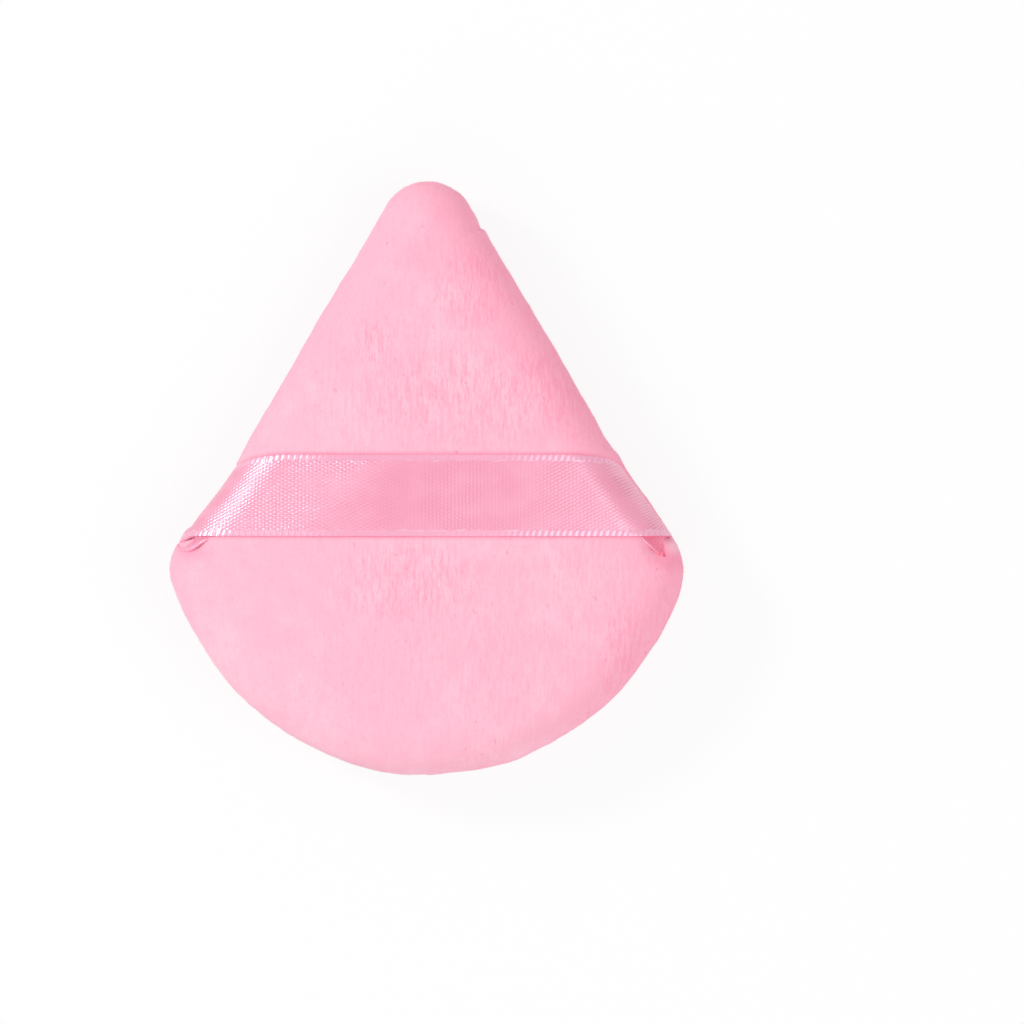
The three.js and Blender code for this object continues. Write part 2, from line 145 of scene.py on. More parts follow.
# Lamps: name, place, diameter and watts
LAMPS = (
    ("left_softbox", (-0.49, 0.26, 0.41), 0.16, 1.75),
    ("front_softbox", (-0.20, -0.55, 0.50), 0.60, 0.90),
    ("right_softbox", (0.44, -0.12, 0.66), 0.60, 1.80),
)


def length_property(name, description, default):
    return FloatProperty(name=name, description=description, default=default, min=0,
                         subtype="DISTANCE", unit="LENGTH", precision=5)


def colour_property(name, description, default):
    return FloatVectorProperty(name=name, description=description, default=default,
                               subtype="COLOR", size=3, min=0, max=1)


class PadSizes(bpy.types.PropertyGroup):
    """Sizes of the sewn pad"""
    tip_radius: length_property("Tip radius", "Radius of the pointed tip", 5.5 * MM)
    corner_radius: length_property("Corner radius", "Radius of the two lower corners", 5.5 * MM)
    base_radius: length_property("Base radius", "Radius of the long round base", 31.1 * MM)
    corner_tilt: FloatProperty(name="Corner tilt", subtype="ANGLE", unit="ROTATION",
                               default=math.radians(14.85),
                               description="Angle below the X axis where base and corner meet")
    side_draw_in: length_property("Side draw-in", "How far the straight sides are drawn in", 0.6 * MM)
    waist_share: FloatProperty(name="Waist share", subtype="FACTOR", default=0.68, min=0, max=1,
                               description="Place of the deepest draw-in, from tip to corner")
    crown_height: length_property("Crown height", "Rise of the face from its edge to its middle", 1.5 * MM)
    edge_round: length_property("Edge rounding", "Width of the rounded edge, seen from above", 5.005 * MM)
    groove_depth: length_property("Groove depth", "How far the seam lies in from the widest line", 0.8 * MM)
    widest_line: length_property("Widest line", "Height of the widest line over the seam", 1.2 * MM)
    velour_thickness: length_property("Velour thickness", "Backing and pile together", 1.3 * MM)
    allowance_width: length_property("Seam allowance", "Width of the cloth turned in at the seam", 4 * MM)
    allowance_thickness: length_property("Allowance thickness", "Thickness of the turned-in cloth", 1 * MM)
    seam_gap: length_property("Seam gap", "Gap between the two panels at the seam", 0.06 * MM)
    foam_clearance: length_property("Foam clearance", "Gap between the foam and the velour", 0.3 * MM)
    trough_depth: length_property("Trough depth", "How deep the strap presses into the pile", 0.13 * MM)
    dent_depth: length_property("Dent depth", "Depth of the pinch under each strap end", 1.3 * MM)
    nap_height: length_property("Nap height", "Relief of the streaks in the pile", 0.055 * MM)
    face_columns: IntProperty(name="Columns", description="Mesh columns round the pad", default=1200, min=100)
    fibre_count: IntProperty(name="Fibres", description="Loose fibres on each panel", default=9000, min=0)


class StrapSizes(bpy.types.PropertyGroup):
    """Sizes of the satin strap"""
    thickness: length_property("Thickness", "Thickness of the ribbon", 0.24 * MM)
    rest_height: length_property("Rest height", "Height of the ribbon over the pad's face", 0.07 * MM)
    tail_length: length_property("Tail", "Length of ribbon caught behind the seam", 2.4 * MM)
    selvedge_width: length_property("Selvedge width", "Width of the corded edge", 0.66 * MM)
    picot_pitch: length_property("Picot pitch", "Distance between the weft loops of the edge", 0.72 * MM)
    picot_height: length_property("Picot height", "Height of the weft loops", 0.03 * MM)
    float_length: length_property("Float length", "Length of one float of the satin and its gap", 0.86 * MM)
    float_width: length_property("Float width", "Distance between rows of floats", 0.435 * MM)
    weave_height: length_property("Weave height", "Relief of the satin weave", 0.025 * MM)
    lift_start: length_property("Lift start", "Where the strap starts to bend up, from its middle", 9 * MM)


class PuffColours(bpy.types.PropertyGroup):
    """Colours of the puff's cloths and of its surroundings"""
    velour: colour_property("Velour", "Upright pile", (0.990, 0.500, 0.620))
    # Paler pink for the slow blotches, and painted light where the edge faces the lamps
    velour_pale_and_lit: colour_property("Pale velour", "Paler pile: slow blotches, and painted light where the edge faces the lamps", (0.995, 0.578, 0.682))
    # Deeper pink for the streaks and grain, and painted shade where the edge faces away from the lamps, in
    # the dents at the strap's ends and beside its edges
    velour_deep_and_shaded: colour_property("Deep velour", "Deeper pile: streaks and grain, and painted shade where the edge faces away from the lamps", (0.990, 0.360, 0.500))
    velour_speck: colour_property("Velour speck", "Gaps between tufts of pile", (0.800, 0.300, 0.420))
    satin: colour_property("Satin", "Face of the ribbon", (0.990, 0.293, 0.463))
    satin_deep: colour_property("Deep satin", "Between the floats of the ribbon", (0.920, 0.200, 0.350))
    # Painted shade in the gaps between floats that open where the ribbon bends
    satin_rib_shade: colour_property("Satin rib", "Painted shade in the gaps that open where the ribbon bends", (0.600, 0.070, 0.160))
    # Painted shade inside the folds of the ribbon and where it turns steeply down at its ends
    satin_fold_shade: colour_property("Satin fold shade", "Painted shade inside the folds and on the steep ends of the ribbon", (0.980, 0.062, 0.200))
    selvedge: colour_property("Selvedge", "Corded edge of the ribbon", (0.985, 0.360, 0.540))
    thread: colour_property("Thread", "Sewing thread", (0.920, 0.380, 0.520))
    foam: colour_property("Foam", "Foam core", (0.890, 0.840, 0.750))
    # Painted shade inside the open cells of the foam
    foam_cell_shade: colour_property("Foam cell", "Painted shade inside the cells of the foam", (0.700, 0.620, 0.520))
    floor: colour_property("Floor", "Floor under the puff", (0.900, 0.900, 0.900))


def smooth_step(value, low, high):
    """Share of the way from low to high, eased at both ends"""
    share = np.clip((value - low) / (high - low), 0, 1)
    return share * share * (3 - 2 * share)


def plateau(value, *limits):
    """Rises from 0 to 1 between the first two limits and falls again between the last two"""
    return smooth_step(value, *limits[:2]) * (1 - smooth_step(value, *limits[2:]))


def bump(value, centre, width):
    """Bell curve, 1 at the centre and 0.37 at one width from it"""
    return np.exp(-((value - centre) / width) ** 2)


def spot(x, y, place):
    """Bell-shaped spot: the product of two bell curves"""
    centre_x, centre_y, reach_x, reach_y = place
    return bump(x / MM, centre_x, reach_x) * bump(y / MM, centre_y, reach_y)


def past_strap(y):
    """How far places lie beyond the strap's two edges in millimetres, negative under the strap"""
    return (np.abs(y - STRAP_CENTRE_Y) - STRAP_WIDTH / 2) / MM


def raised(plan, height):
    """Points over places of the plan, at one height or at one for each"""
    height = np.broadcast_to(height, plan.shape[:-1])
    return np.concatenate([plan, height[..., None]], -1)


def unit(vectors):
    """Vectors brought to length 1"""
    return vectors / np.maximum(np.linalg.norm(vectors, axis=-1, keepdims=True), 1e-12)


def lattice_noise(x, y, cell_x, cell_y, seed, shift_x=0, shift_y=0):
    """Smooth noise from -1 to 1: random numbers on a lattice of cells in millimetres, shifted by
    some cells and eased between their corners"""
    x = x / (cell_x * MM) + shift_x
    y = y / (cell_y * MM) + shift_y
    size = 256
    table = np.random.default_rng(seed).uniform(-1, 1, (size, size))
    column = np.floor(x).astype(int)
    row = np.floor(y).astype(int)
    across = smooth_step(x - column, 0, 1)
    up = smooth_step(y - row, 0, 1)

    def along_row(row):
        first, second = table[row % size, column % size], table[row % size, (column + 1) % size]
        return first * (1 - across) + second * across

    return along_row(row) * (1 - up) + along_row(row + 1) * up


class PadForm:
    """The pad's form: an outline of arcs, a face crowned as the product of its distances to the
    three sides, an elliptical rounded edge and a groove along the seam. Heights count from the seam."""

    def __init__(self, sizes):
        self.sizes = sizes
        self.edge_height = PAD_TOP - SEAM_HEIGHT - sizes.crown_height
        self.tip_centre = np.array([0, PAD_LENGTH / 2 - sizes.tip_radius])
        self.base_centre = np.array([0, sizes.base_radius - PAD_LENGTH / 2])
        reach = sizes.base_radius - sizes.corner_radius
        tilt = sizes.corner_tilt
        self.corner_centre = self.base_centre + reach * np.array([math.cos(tilt), -math.sin(tilt)])
        run = self.corner_centre - self.tip_centre
        lean = math.asin((sizes.corner_radius - sizes.tip_radius) / np.hypot(*run))
        self.side_angle = math.atan2(run[1], run[0]) + math.pi / 2 + lean
        self.side_normal = np.array([math.cos(self.side_angle), math.sin(self.side_angle)])
        self.side_reach = self.side_normal @ self.tip_centre + sizes.tip_radius
        self.crown_y = (self.side_reach / self.side_normal[1] - PAD_LENGTH) / 3
        self.crown_centre = np.array([0, self.crown_y])
        self.crown_peak = self.crown_product(0, self.crown_y)
        self.trace_outline()

    def trace_outline(self):
        """Points and outward normals round the outline, anticlockwise from the middle of the base"""
        sizes = self.sizes
        steps = 1500

        def arc(centre, radius, first, last):
            angle = np.linspace(first, last, steps, endpoint=False)
            normal = np.stack([np.cos(angle), np.sin(angle)], 1)
            return centre + radius * normal, normal

        base = arc(self.base_centre, sizes.base_radius, -math.pi / 2, -sizes.corner_tilt)
        corner = arc(self.corner_centre, sizes.corner_radius, -sizes.corner_tilt, self.side_angle)
        share = np.linspace(1, 0, steps, endpoint=False)[:, None]
        power = math.log(0.5) / math.log(sizes.waist_share)
        draw_in = sizes.side_draw_in * np.sin(np.pi * share ** power) ** 2
        start = self.tip_centre + self.side_normal * sizes.tip_radius
        end = self.corner_centre + self.side_normal * sizes.corner_radius
        side_points = start * (1 - share) + end * share - self.side_normal * draw_in
        side = (side_points, np.repeat(self.side_normal[None], steps, 0))
        tip = arc(self.tip_centre, sizes.tip_radius, self.side_angle, math.pi / 2)
        right = [np.concatenate(parts) for parts in zip(base, corner, side, tip)]
        mirror = np.array([-1, 1])
        top = (self.tip_centre + [0, sizes.tip_radius], np.array([0.0, 1.0]))
        self.points, self.normals = (np.concatenate([half, middle[None], half[:0:-1] * mirror, half[:1]])
                                     for half, middle in zip(right, top))
        self.distance = np.concatenate([[0], np.cumsum(np.hypot(*np.diff(self.points, axis=0).T))])
        self.right_side = slice(steps, 3 * steps)

    def crown_product(self, x, y):
        """Product of the distances to the two straight sides and, along Y, to the base"""
        base_distance = y - self.base_centre[1] + np.sqrt(np.maximum(self.sizes.base_radius ** 2 - x ** 2, 0))
        right_distance = self.side_reach - self.side_normal[0] * x - self.side_normal[1] * y
        left_distance = self.side_reach + self.side_normal[0] * x - self.side_normal[1] * y
        return right_distance * left_distance * base_distance

    def face_height(self, x, y):
        """Height of the crowned face over the seam plane"""
        share = self.crown_product(x, y) / self.crown_peak
        return self.edge_height + self.sizes.crown_height * np.maximum(share, 0)

    def outline_at(self, distance):
        """Outline points and normals at distances along it"""
        wrapped = distance % self.distance[-1]
        point, normal = (np.stack([np.interp(wrapped, self.distance, values[:, i]) for i in (0, 1)], -1)
                         for values in (self.points, self.normals))
        return point, unit(normal)

    def outline_columns(self, columns):
        """Distances, points and normals of columns spread evenly round the outline"""
        distance = np.arange(columns) / columns * self.distance[-1]
        return distance, *self.outline_at(distance)

    def strap_reach(self, side, y):
        """How far inside the outline the strap's outermost line lies, where it rounds the edge"""
        y = y / MM
        if side == RIGHT:
            return MM * (0.2 + 0.15 * (smooth_step(y, -6.5, -3.5) + smooth_step(y, -2, 1)))
        steps = smooth_step(-y, 0.5, 3) + smooth_step(-y, 2.5, 4.5)
        return MM * (0.8 - 0.12 * steps - 0.6 * smooth_step(-y, 6.2, 7.4))

    def edge_draw(self, x, y, lift, up):
        """How far the strap pulls the panel's edge in at its widest line. On the front it pulls fully
        under the strap, whose upper edge runs lower there than on the face, and a little above it.
        The back follows at the left, and bulges past the strap at the right."""
        right_pull, left_pull = (self.strap_reach(side, y) / MM + 0.3 for side in (RIGHT, LEFT))
        strap_top = (STRAP_CENTRE_Y + STRAP_WIDTH / 2) / MM - 1.4 * (1 - np.clip(lift, 0, 1))
        y = y / MM
        above = plateau(y, -2, 0, 2, 5.5)
        dip = 0.13 * bump(y, 5, 1.2)
        if up == FRONT:
            under = smooth_step(y, -7.6, -6.6) * (1 - smooth_step(y - strap_top, 0, 0.7))
            left = under * left_pull + 0.3 * (1 - under) * above
            right = under * right_pull + dip * (1 - under)
        else:
            left = np.maximum(plateau(y, -8.4, -6.8, 1, 4.5) * left_pull, 0.3 * above)
            right = dip - 0.26 * bump(y, 2.7, 1.1)
        return MM * np.where(x > 0, right, left)

    def seam_draw(self, x, y):
        """How far the strap pulls the seam in"""
        pull = np.where(x > 0, self.strap_reach(RIGHT, y), self.strap_reach(LEFT, y))
        return plateau(y / MM, -8.6, -6.8, 2.4, 4.4) * pull

    def outline_wave(self, distance):
        """How far the sewn outline drifts off the drawn one: slowly all round, with a small step on
        the right near the tip where the hand-closed part ends, and fine waves"""
        share, drift = np.array(SEWING_DRIFT).T
        place = distance / self.distance[-1]
        shifts = np.linspace(-0.007, 0.007, 9)
        slow = np.mean([np.interp((place + shift) % 1, share, drift) for shift in shifts], 0)
        start, deepest, end = CLOSING_STEP
        notch = plateau(place, start, deepest, deepest, end)
        fine = lattice_noise(distance, 0, 2.5, 1, 11)
        return MM * (slow - 0.28 * notch + 0.015 * fine)

    def under_strap(self, y):
        """1 under the strap, eased to 0 half a millimetre beyond its edges"""
        return 1 - smooth_step(past_strap(y), -0.3, 0.5)

    def press_depth(self, x, y):
        """Depth of the trough under the strap, of its raised shoulders and of the pinch at each end"""
        shoulder = 0.08 * MM * bump(past_strap(y), 0.9, 0.6)
        pinch = self.sizes.dent_depth * (spot(x, y, RIGHT_PINCH) + 0.75 * spot(x, y, LEFT_PINCH))
        return self.sizes.trough_depth * self.under_strap(y) - shoulder + pinch

    def inner_edge_ring(self, point, normal, skin, angle):
        """A ring of the rounded edge, one skin inside it: a quarter ellipse in section"""
        sizes = self.sizes
        plan = point - normal * (skin + (sizes.edge_round - skin) * (1 - math.cos(angle)))
        face = self.face_height(*plan.T) - skin
        return raised(plan, sizes.widest_line + (face - sizes.widest_line) * math.sin(angle))

    def inner_face_ring(self, point, normal, skin, share):
        """A ring of the face, one skin under it, shrunk towards the crown"""
        rim = point - normal * self.sizes.edge_round - self.crown_centre
        plan = self.crown_centre + rim * share
        return raised(plan, self.face_height(*plan.T) - skin - self.press_depth(*plan.T))


def cloth_waves(x, y):
    """Slow waves of the face, from 15 mm to 3 mm long"""
    slow = lattice_noise(x, y, 13, 15, 21)
    middle = lattice_noise(x, y, 5, 6, 22, shift_x=7)
    quick = lattice_noise(x, y, 2.2, 2.8, 23, shift_y=3)
    return MM * (0.07 * slow + 0.035 * middle + 0.012 * quick)


def nap_mask(x, y):
    """Where the pile is brushed into streaks: in a few patches, with little at the left"""
    mask = 0.25 + 0.25 * lattice_noise(x, y, 9, 11, 31, shift_x=4)
    for centre_x, centre_y, reach_x, reach_y in NAP_PATCHES:
        apart = ((x / MM - centre_x) / reach_x) ** 2 + ((y / MM - centre_y) / reach_y) ** 2
        mask = np.maximum(mask, np.exp(-apart ** 2))
    return np.clip(mask, 0, 1) * (0.2 + 0.8 * smooth_step(x / MM, -18, -8))


def nap_relief(x, y):
    """Streaks of leaning pile along the cloth's length: stretched noise that wanders sideways"""
    wander = 0.25 * MM * lattice_noise(x, y, 3, 4, 41)
    broad = lattice_noise(x + wander, y, 0.55, 4.2, 42)
    fine = lattice_noise(x + wander, y, 0.3, 1.8, 43)
    grain = lattice_noise(x, y, 0.4, 0.4, 44)
    return (0.6 * broad + 0.4 * fine) * nap_mask(x, y) + 0.25 * grain


def pile_light_and_shade(plan, normal, share, angle, up):
    """Painted light and shade of the pile, from -1, painted light where the edge faces the lamps, to 1,
    painted shade where it faces away: by the direction of the edge and, on the front, painted shade
    in the dents under the strap's ends and along its two edges, a painted highlight on a tuft beside
    the right end and a darker spot near the tip"""
    x, y = plan[..., 0], plan[..., 1]
    # Painted shade on the rounded edges that face away from the lamps, painted light on those that face them
    # at the left and towards the base
    rim = 0.6 * smooth_step(share + 0.25 * (math.pi / 2 - angle), 0.8, 1.25)
    facing = normal[:, 0] * math.cos(SHADE_TURN) + normal[:, 1] * math.sin(SHADE_TURN)
    away = np.maximum(facing, 0) ** 0.8
    toward = np.maximum(-facing, 0) * smooth_step(-normal[:, 1], -0.2, 0.7)
    lean = rim * (away - 1.3 * toward)
    if up == FRONT:
        # Painted shade in a thin band of pile along each edge of the strap
        lean = lean + 0.6 * bump(past_strap(y), 0.05, 0.28) * smooth_step(angle, 1.0, 1.3)
        # Painted shade in the dents, a painted highlight on the tuft, and the darker spot near the tip
        for weight, place in PAINTED_SPOTS:
            lean = lean + weight * spot(x, y, place)
    return np.clip(lean, -1, 1)


def write_mesh(name, vertices, quads, triangles, uvs, **attributes):
    """Mesh object at the origin from whole arrays, smooth shaded, with one UV map and a number per
    vertex for each named attribute"""
    mesh = bpy.data.meshes.new(name)
    corners = np.concatenate([triangles.ravel(), quads.ravel()]).astype(np.int32)
    sizes = np.concatenate([np.full(len(triangles), 3), np.full(len(quads), 4)])
    starts = np.concatenate([[0], np.cumsum(sizes)[:-1]]).astype(np.int32)
    mesh.vertices.add(len(vertices))
    mesh.vertices.foreach_set("co", vertices.astype(np.float32).ravel())
    mesh.loops.add(len(corners))
    mesh.loops.foreach_set("vertex_index", corners)
    mesh.polygons.add(len(sizes))
    mesh.polygons.foreach_set("loop_start", starts)
    mesh.update(calc_edges=True)
    mesh.shade_smooth()
    mesh.set_sharp_from_angle(angle=SHARP_ANGLE)
    layer = mesh.uv_layers.new(name="cloth")
    layer.uv.foreach_set("vector", (uvs[corners] / UV_SPAN + 0.5).astype(np.float32).ravel())
    for key, values in attributes.items():
        layer = mesh.attributes.new(key, "FLOAT", "POINT")
        layer.data.foreach_set("value", values.astype(np.float32).ravel())
    piece = bpy.data.objects.new(name, mesh)
    bpy.context.scene.collection.objects.link(piece)
    return piece


def ring_faces(rows, columns, flip):
    """Faces of a stack of closed rings between two poles, which are the first and last vertex"""
    column = np.arange(columns)
    following = (column + 1) % columns
    start = 1 + columns * np.arange(rows - 1)[:, None]
    quads = np.stack([start + column, start + columns + column,
                      start + columns + following, start + following], -1).reshape(-1, 4)
    last = 1 + columns * (rows - 1)
    pole = np.zeros(columns, int)
    caps = np.concatenate([np.stack([pole, 1 + column, 1 + following], -1),
                           np.stack([last + column, pole + last + columns, last + following], -1)])
    if flip:
        return quads[:, ::-1], caps[:, ::-1]
    return quads, caps


def ring_normals(points):
    """Unit normals of a grid whose columns close into rings"""
    along = np.roll(points, -1, 1) - np.roll(points, 1, 1)
    return unit(np.cross(np.gradient(points, axis=0), along))


def panel_rows():
    """Rings of a panel's outer side from its crown into the seam: the share of the face that each
    spans, and its angle over the edge, 90 degrees on the face, 0 at the widest line, -90 in the seam"""
    face, edge = np.linspace(0, 1, FACE_ROWS + 2)[1:-1], np.linspace(math.pi / 2, 0, EDGE_ROWS)
    seam = np.linspace(0, -math.pi / 2, SEAM_ROWS + 1)[1:]
    share = np.concatenate([face, np.ones(EDGE_ROWS + SEAM_ROWS)])
    angle = np.concatenate([np.full(FACE_ROWS, math.pi / 2), edge, seam])
    return share[:, None], angle[:, None]


def panel_surface(form, up, columns):
    """Outer side of a panel: rings of the outline, moved in and up along a quarter ellipse over the
    edge and a smaller one into the seam, and shrunk towards the crown on the face. The strap's pull,
    the trough, the slow waves and the nap are added to it. Returns its points, their places on the
    flat cloth and the painted light and shade of the pile."""
    sizes = form.sizes
    distance, point, normal = form.outline_columns(columns)
    share, angle = panel_rows()
    over = angle > 0
    lift = np.sin(angle)
    inset = np.where(over, sizes.edge_round, sizes.groove_depth) * (1 - np.cos(angle))
    near_edge = np.where(over, np.cos(angle), 1)
    into_seam = np.where(over, 0, -lift)
    wave = form.outline_wave(distance)
    edge_y = point[:, 1] - normal[:, 1] * inset
    draw = form.edge_draw(point[:, 0], edge_y, lift, up) * (1 - into_seam)
    draw = draw + form.seam_draw(*point.T) * into_seam
    plan = point - normal * (inset + (draw - wave) * near_edge)[..., None]
    centre = form.crown_centre
    plan = centre + (plan - centre) * share[..., None]
    x, y = plan[..., 0], plan[..., 1]
    rise = np.where(over, form.face_height(x, y) - sizes.widest_line, sizes.widest_line - sizes.seam_gap / 2)
    height = sizes.widest_line + lift * rise
    if up == FRONT:
        height = height - form.press_depth(x, y) * np.clip(lift, 0, 1)
    arc = sizes.edge_round * (math.pi / 2 - np.maximum(angle, 0)) + sizes.groove_depth * np.maximum(-angle, 0)
    cloth = (centre + (point - normal * sizes.edge_round - centre) * share[..., None]
             + normal * np.where(share < 1, 0, arc)[..., None])
    points = raised(plan, height)
    u, v = cloth[..., 0], cloth[..., 1] + (0 if up == FRONT else PAD_LENGTH)
    gathers = lattice_noise(distance, 0, 2.6, 1, 51) + 0.6 * lattice_noise(distance, 0, 1.1, 1, 52)
    pucker = 0.08 * MM * gathers * smooth_step(-angle, -0.9, 0.6) * (1 - into_seam)
    calm = 1 - 0.8 * form.under_strap(y) * (up == FRONT)
    waves = calm * cloth_waves(u, v) * smooth_step(angle, -0.8, 0.3)
    relief = waves + sizes.nap_height * nap_relief(u, v) + pucker
    points = points + ring_normals(points) * relief[..., None] * (1 - 0.9 * into_seam)[..., None]
    return points, cloth, pile_light_and_shade(plan, normal, share, angle, up)


def inner_surface(form, columns):
    """Inner side of a panel: the seam allowance turned in along the seam, then the lining of the pad"""
    sizes = form.sizes
    skin = sizes.velour_thickness
    _, point, normal = form.outline_columns(columns)
    level = sizes.seam_gap / 2
    top = level + sizes.allowance_thickness
    levels = [(inset, level) for inset in np.linspace(1.6 * MM, sizes.allowance_width, 6)]
    levels += [(sizes.allowance_width, top), (skin + 1 * MM, top)]
    rings = [raised(point - normal * inset, height) for inset, height in levels]
    rings += [form.inner_edge_ring(point, normal, skin, angle) for angle in np.linspace(0.1, math.pi / 2, 9)]
    rings += [form.inner_face_ring(point, normal, skin, share) for share in np.linspace(1, 0, 9)[1:-1]]
    return np.array(rings)


def build_panel(form, name, up, columns):
    """One velour panel as a closed shell"""
    outer, cloth, lean = panel_surface(form, up, columns)
    inner = inner_surface(form, columns)
    points = np.concatenate([outer, inner])
    uvs = np.concatenate([cloth, inner[..., :2]])
    centre = form.crown_centre
    lining = form.face_height(*centre) - form.sizes.velour_thickness
    poles = np.array([[*centre, outer[0, :, 2].mean()], [*centre, lining]])
    vertices = np.concatenate([poles[:1], points.reshape(-1, 3), poles[1:]])
    vertices[:, 2] = np.maximum(SEAM_HEIGHT + up * vertices[:, 2], 0)
    plane = np.concatenate([centre[None], uvs.reshape(-1, 2), centre[None]])
    quads, caps = ring_faces(len(points), columns, up == BACK)
    # The lean attribute carries the painted light and shade of the pile; the inner side has none
    lean = np.concatenate([[0], lean.ravel(), np.zeros(inner[..., 0].size + 1)])
    return write_mesh(name, vertices, quads, caps, plane, lean=lean, nap=nap_mask(*plane.T))


def build_pile(form, count, seed):
    """Loose fibres that stand out of the pile: thin three-sided spikes with closed bases, leaning
    down the cloth, scattered over both panels and thicker along their edges"""
    rng = np.random.default_rng(seed)
    columns = 900
    rows = FACE_ROWS + EDGE_ROWS + 1
    parts = []
    for up in (FRONT, BACK):
        points, cloth, lean = panel_surface(form, up, columns)
        normals = ring_normals(points) * np.array([1, 1, up])
        points = points * np.array([1, 1, up])
        row = rng.integers(0, rows, count)
        row = np.where(rng.random(count) < np.sqrt(row / (FACE_ROWS - 1)), row, rows - 1 - row // 3)
        column = rng.integers(0, columns, count)
        flat = cloth[row, column] + np.array([0, 0 if up == FRONT else PAD_LENGTH])
        parts.append((points[row, column], normals[row, column], flat, lean[row, column]))
    root, normal, cloth, lean = (np.concatenate(arrays) for arrays in zip(*parts))
    under_strap = (past_strap(root[:, 1]) < FIBRE_CLEARANCE) & (root[:, 2] > 0)
    shown = (root[:, 2] + SEAM_HEIGHT >= LOWEST_FIBRE) & ~under_strap
    root, normal, cloth, lean = (array[shown] for array in (root, normal, cloth, lean))
    number = len(root)
    sideways = rng.normal(0, 1, (number, 3)) * np.array([0.5, 0.35, 0.3]) - np.array([0.1, 0.5, 0])
    sideways = sideways - normal * (sideways * normal).sum(1, keepdims=True)
    length = rng.uniform(0.2, 0.42, (number, 1)) * MM
    tip = root + normal * length * rng.uniform(0.1, 0.3, (number, 1)) + sideways * length
    across = unit(np.cross(normal, sideways))
    forward = np.cross(across, normal)
    base = root - normal * FIBRE_ROOT
    corners = [base + FIBRE_WIDTH * across, base - FIBRE_WIDTH * across,
               base + 1.7 * FIBRE_WIDTH * forward, tip]
    vertices = np.stack(corners, 1).reshape(-1, 3) + np.array([0, 0, SEAM_HEIGHT])
    faces = np.arange(number)[:, None, None] * 4 + np.array([[0, 1, 2], [0, 3, 1], [1, 3, 2], [2, 3, 0]])
    # Each fibre takes the painted light and shade of the pile at its root, varied at random
    tone = np.repeat(lean + rng.uniform(-0.7, 0.5, number), 4)
    plane = np.repeat(cloth, 4, 0)
    faces = faces.reshape(-1, 3)
    return write_mesh("loose_fibres", vertices, NO_QUADS, faces, plane, lean=tone, nap=tone * 0)


def build_foam(form, columns):
    """The foam core: the pad's form one cloth thickness smaller, slotted round its rim for the seam
    allowances, with shallow pits of open cells"""
    sizes = form.sizes
    skin = sizes.velour_thickness + sizes.foam_clearance
    _, point, normal = form.outline_columns(columns)
    slot_top = sizes.allowance_thickness + SLOT_ROOM
    slot_inset = sizes.allowance_width + sizes.foam_clearance
    slot_angle = math.asin((slot_top - sizes.widest_line) / (form.edge_height - skin - sizes.widest_line))
    shares, angles = np.linspace(0, 1, 40)[1:-1], np.linspace(math.pi / 2, slot_angle, 12)
    insets = np.linspace(skin + SLOT_ROOM, slot_inset, 5)[1:]
    half = [form.inner_face_ring(point, normal, skin, share) for share in shares]
    half += [form.inner_edge_ring(point, normal, skin, angle) for angle in angles]
    half += [raised(point - normal * inset, slot_top) for inset in insets]
    half = np.array(half)
    half[..., 2] -= PIT_DEPTH * np.clip(lattice_noise(half[..., 0], half[..., 1], 0.7, 0.7, 61), 0, 1)
    mirror = np.array([1, 1, -1])
    points = np.concatenate([half, half[::-1] * mirror])
    crown = form.face_height(*form.crown_centre) - skin - sizes.trough_depth
    top_pole = np.array([[*form.crown_centre, crown]])
    vertices = np.concatenate([top_pole, points.reshape(-1, 3), top_pole * mirror])
    vertices[:, 2] = np.maximum(vertices[:, 2] + SEAM_HEIGHT, sizes.velour_thickness / 2)
    quads, caps = ring_faces(len(points), columns, False)
    return write_mesh("foam_filling", vertices, quads, caps, vertices[:, :2])


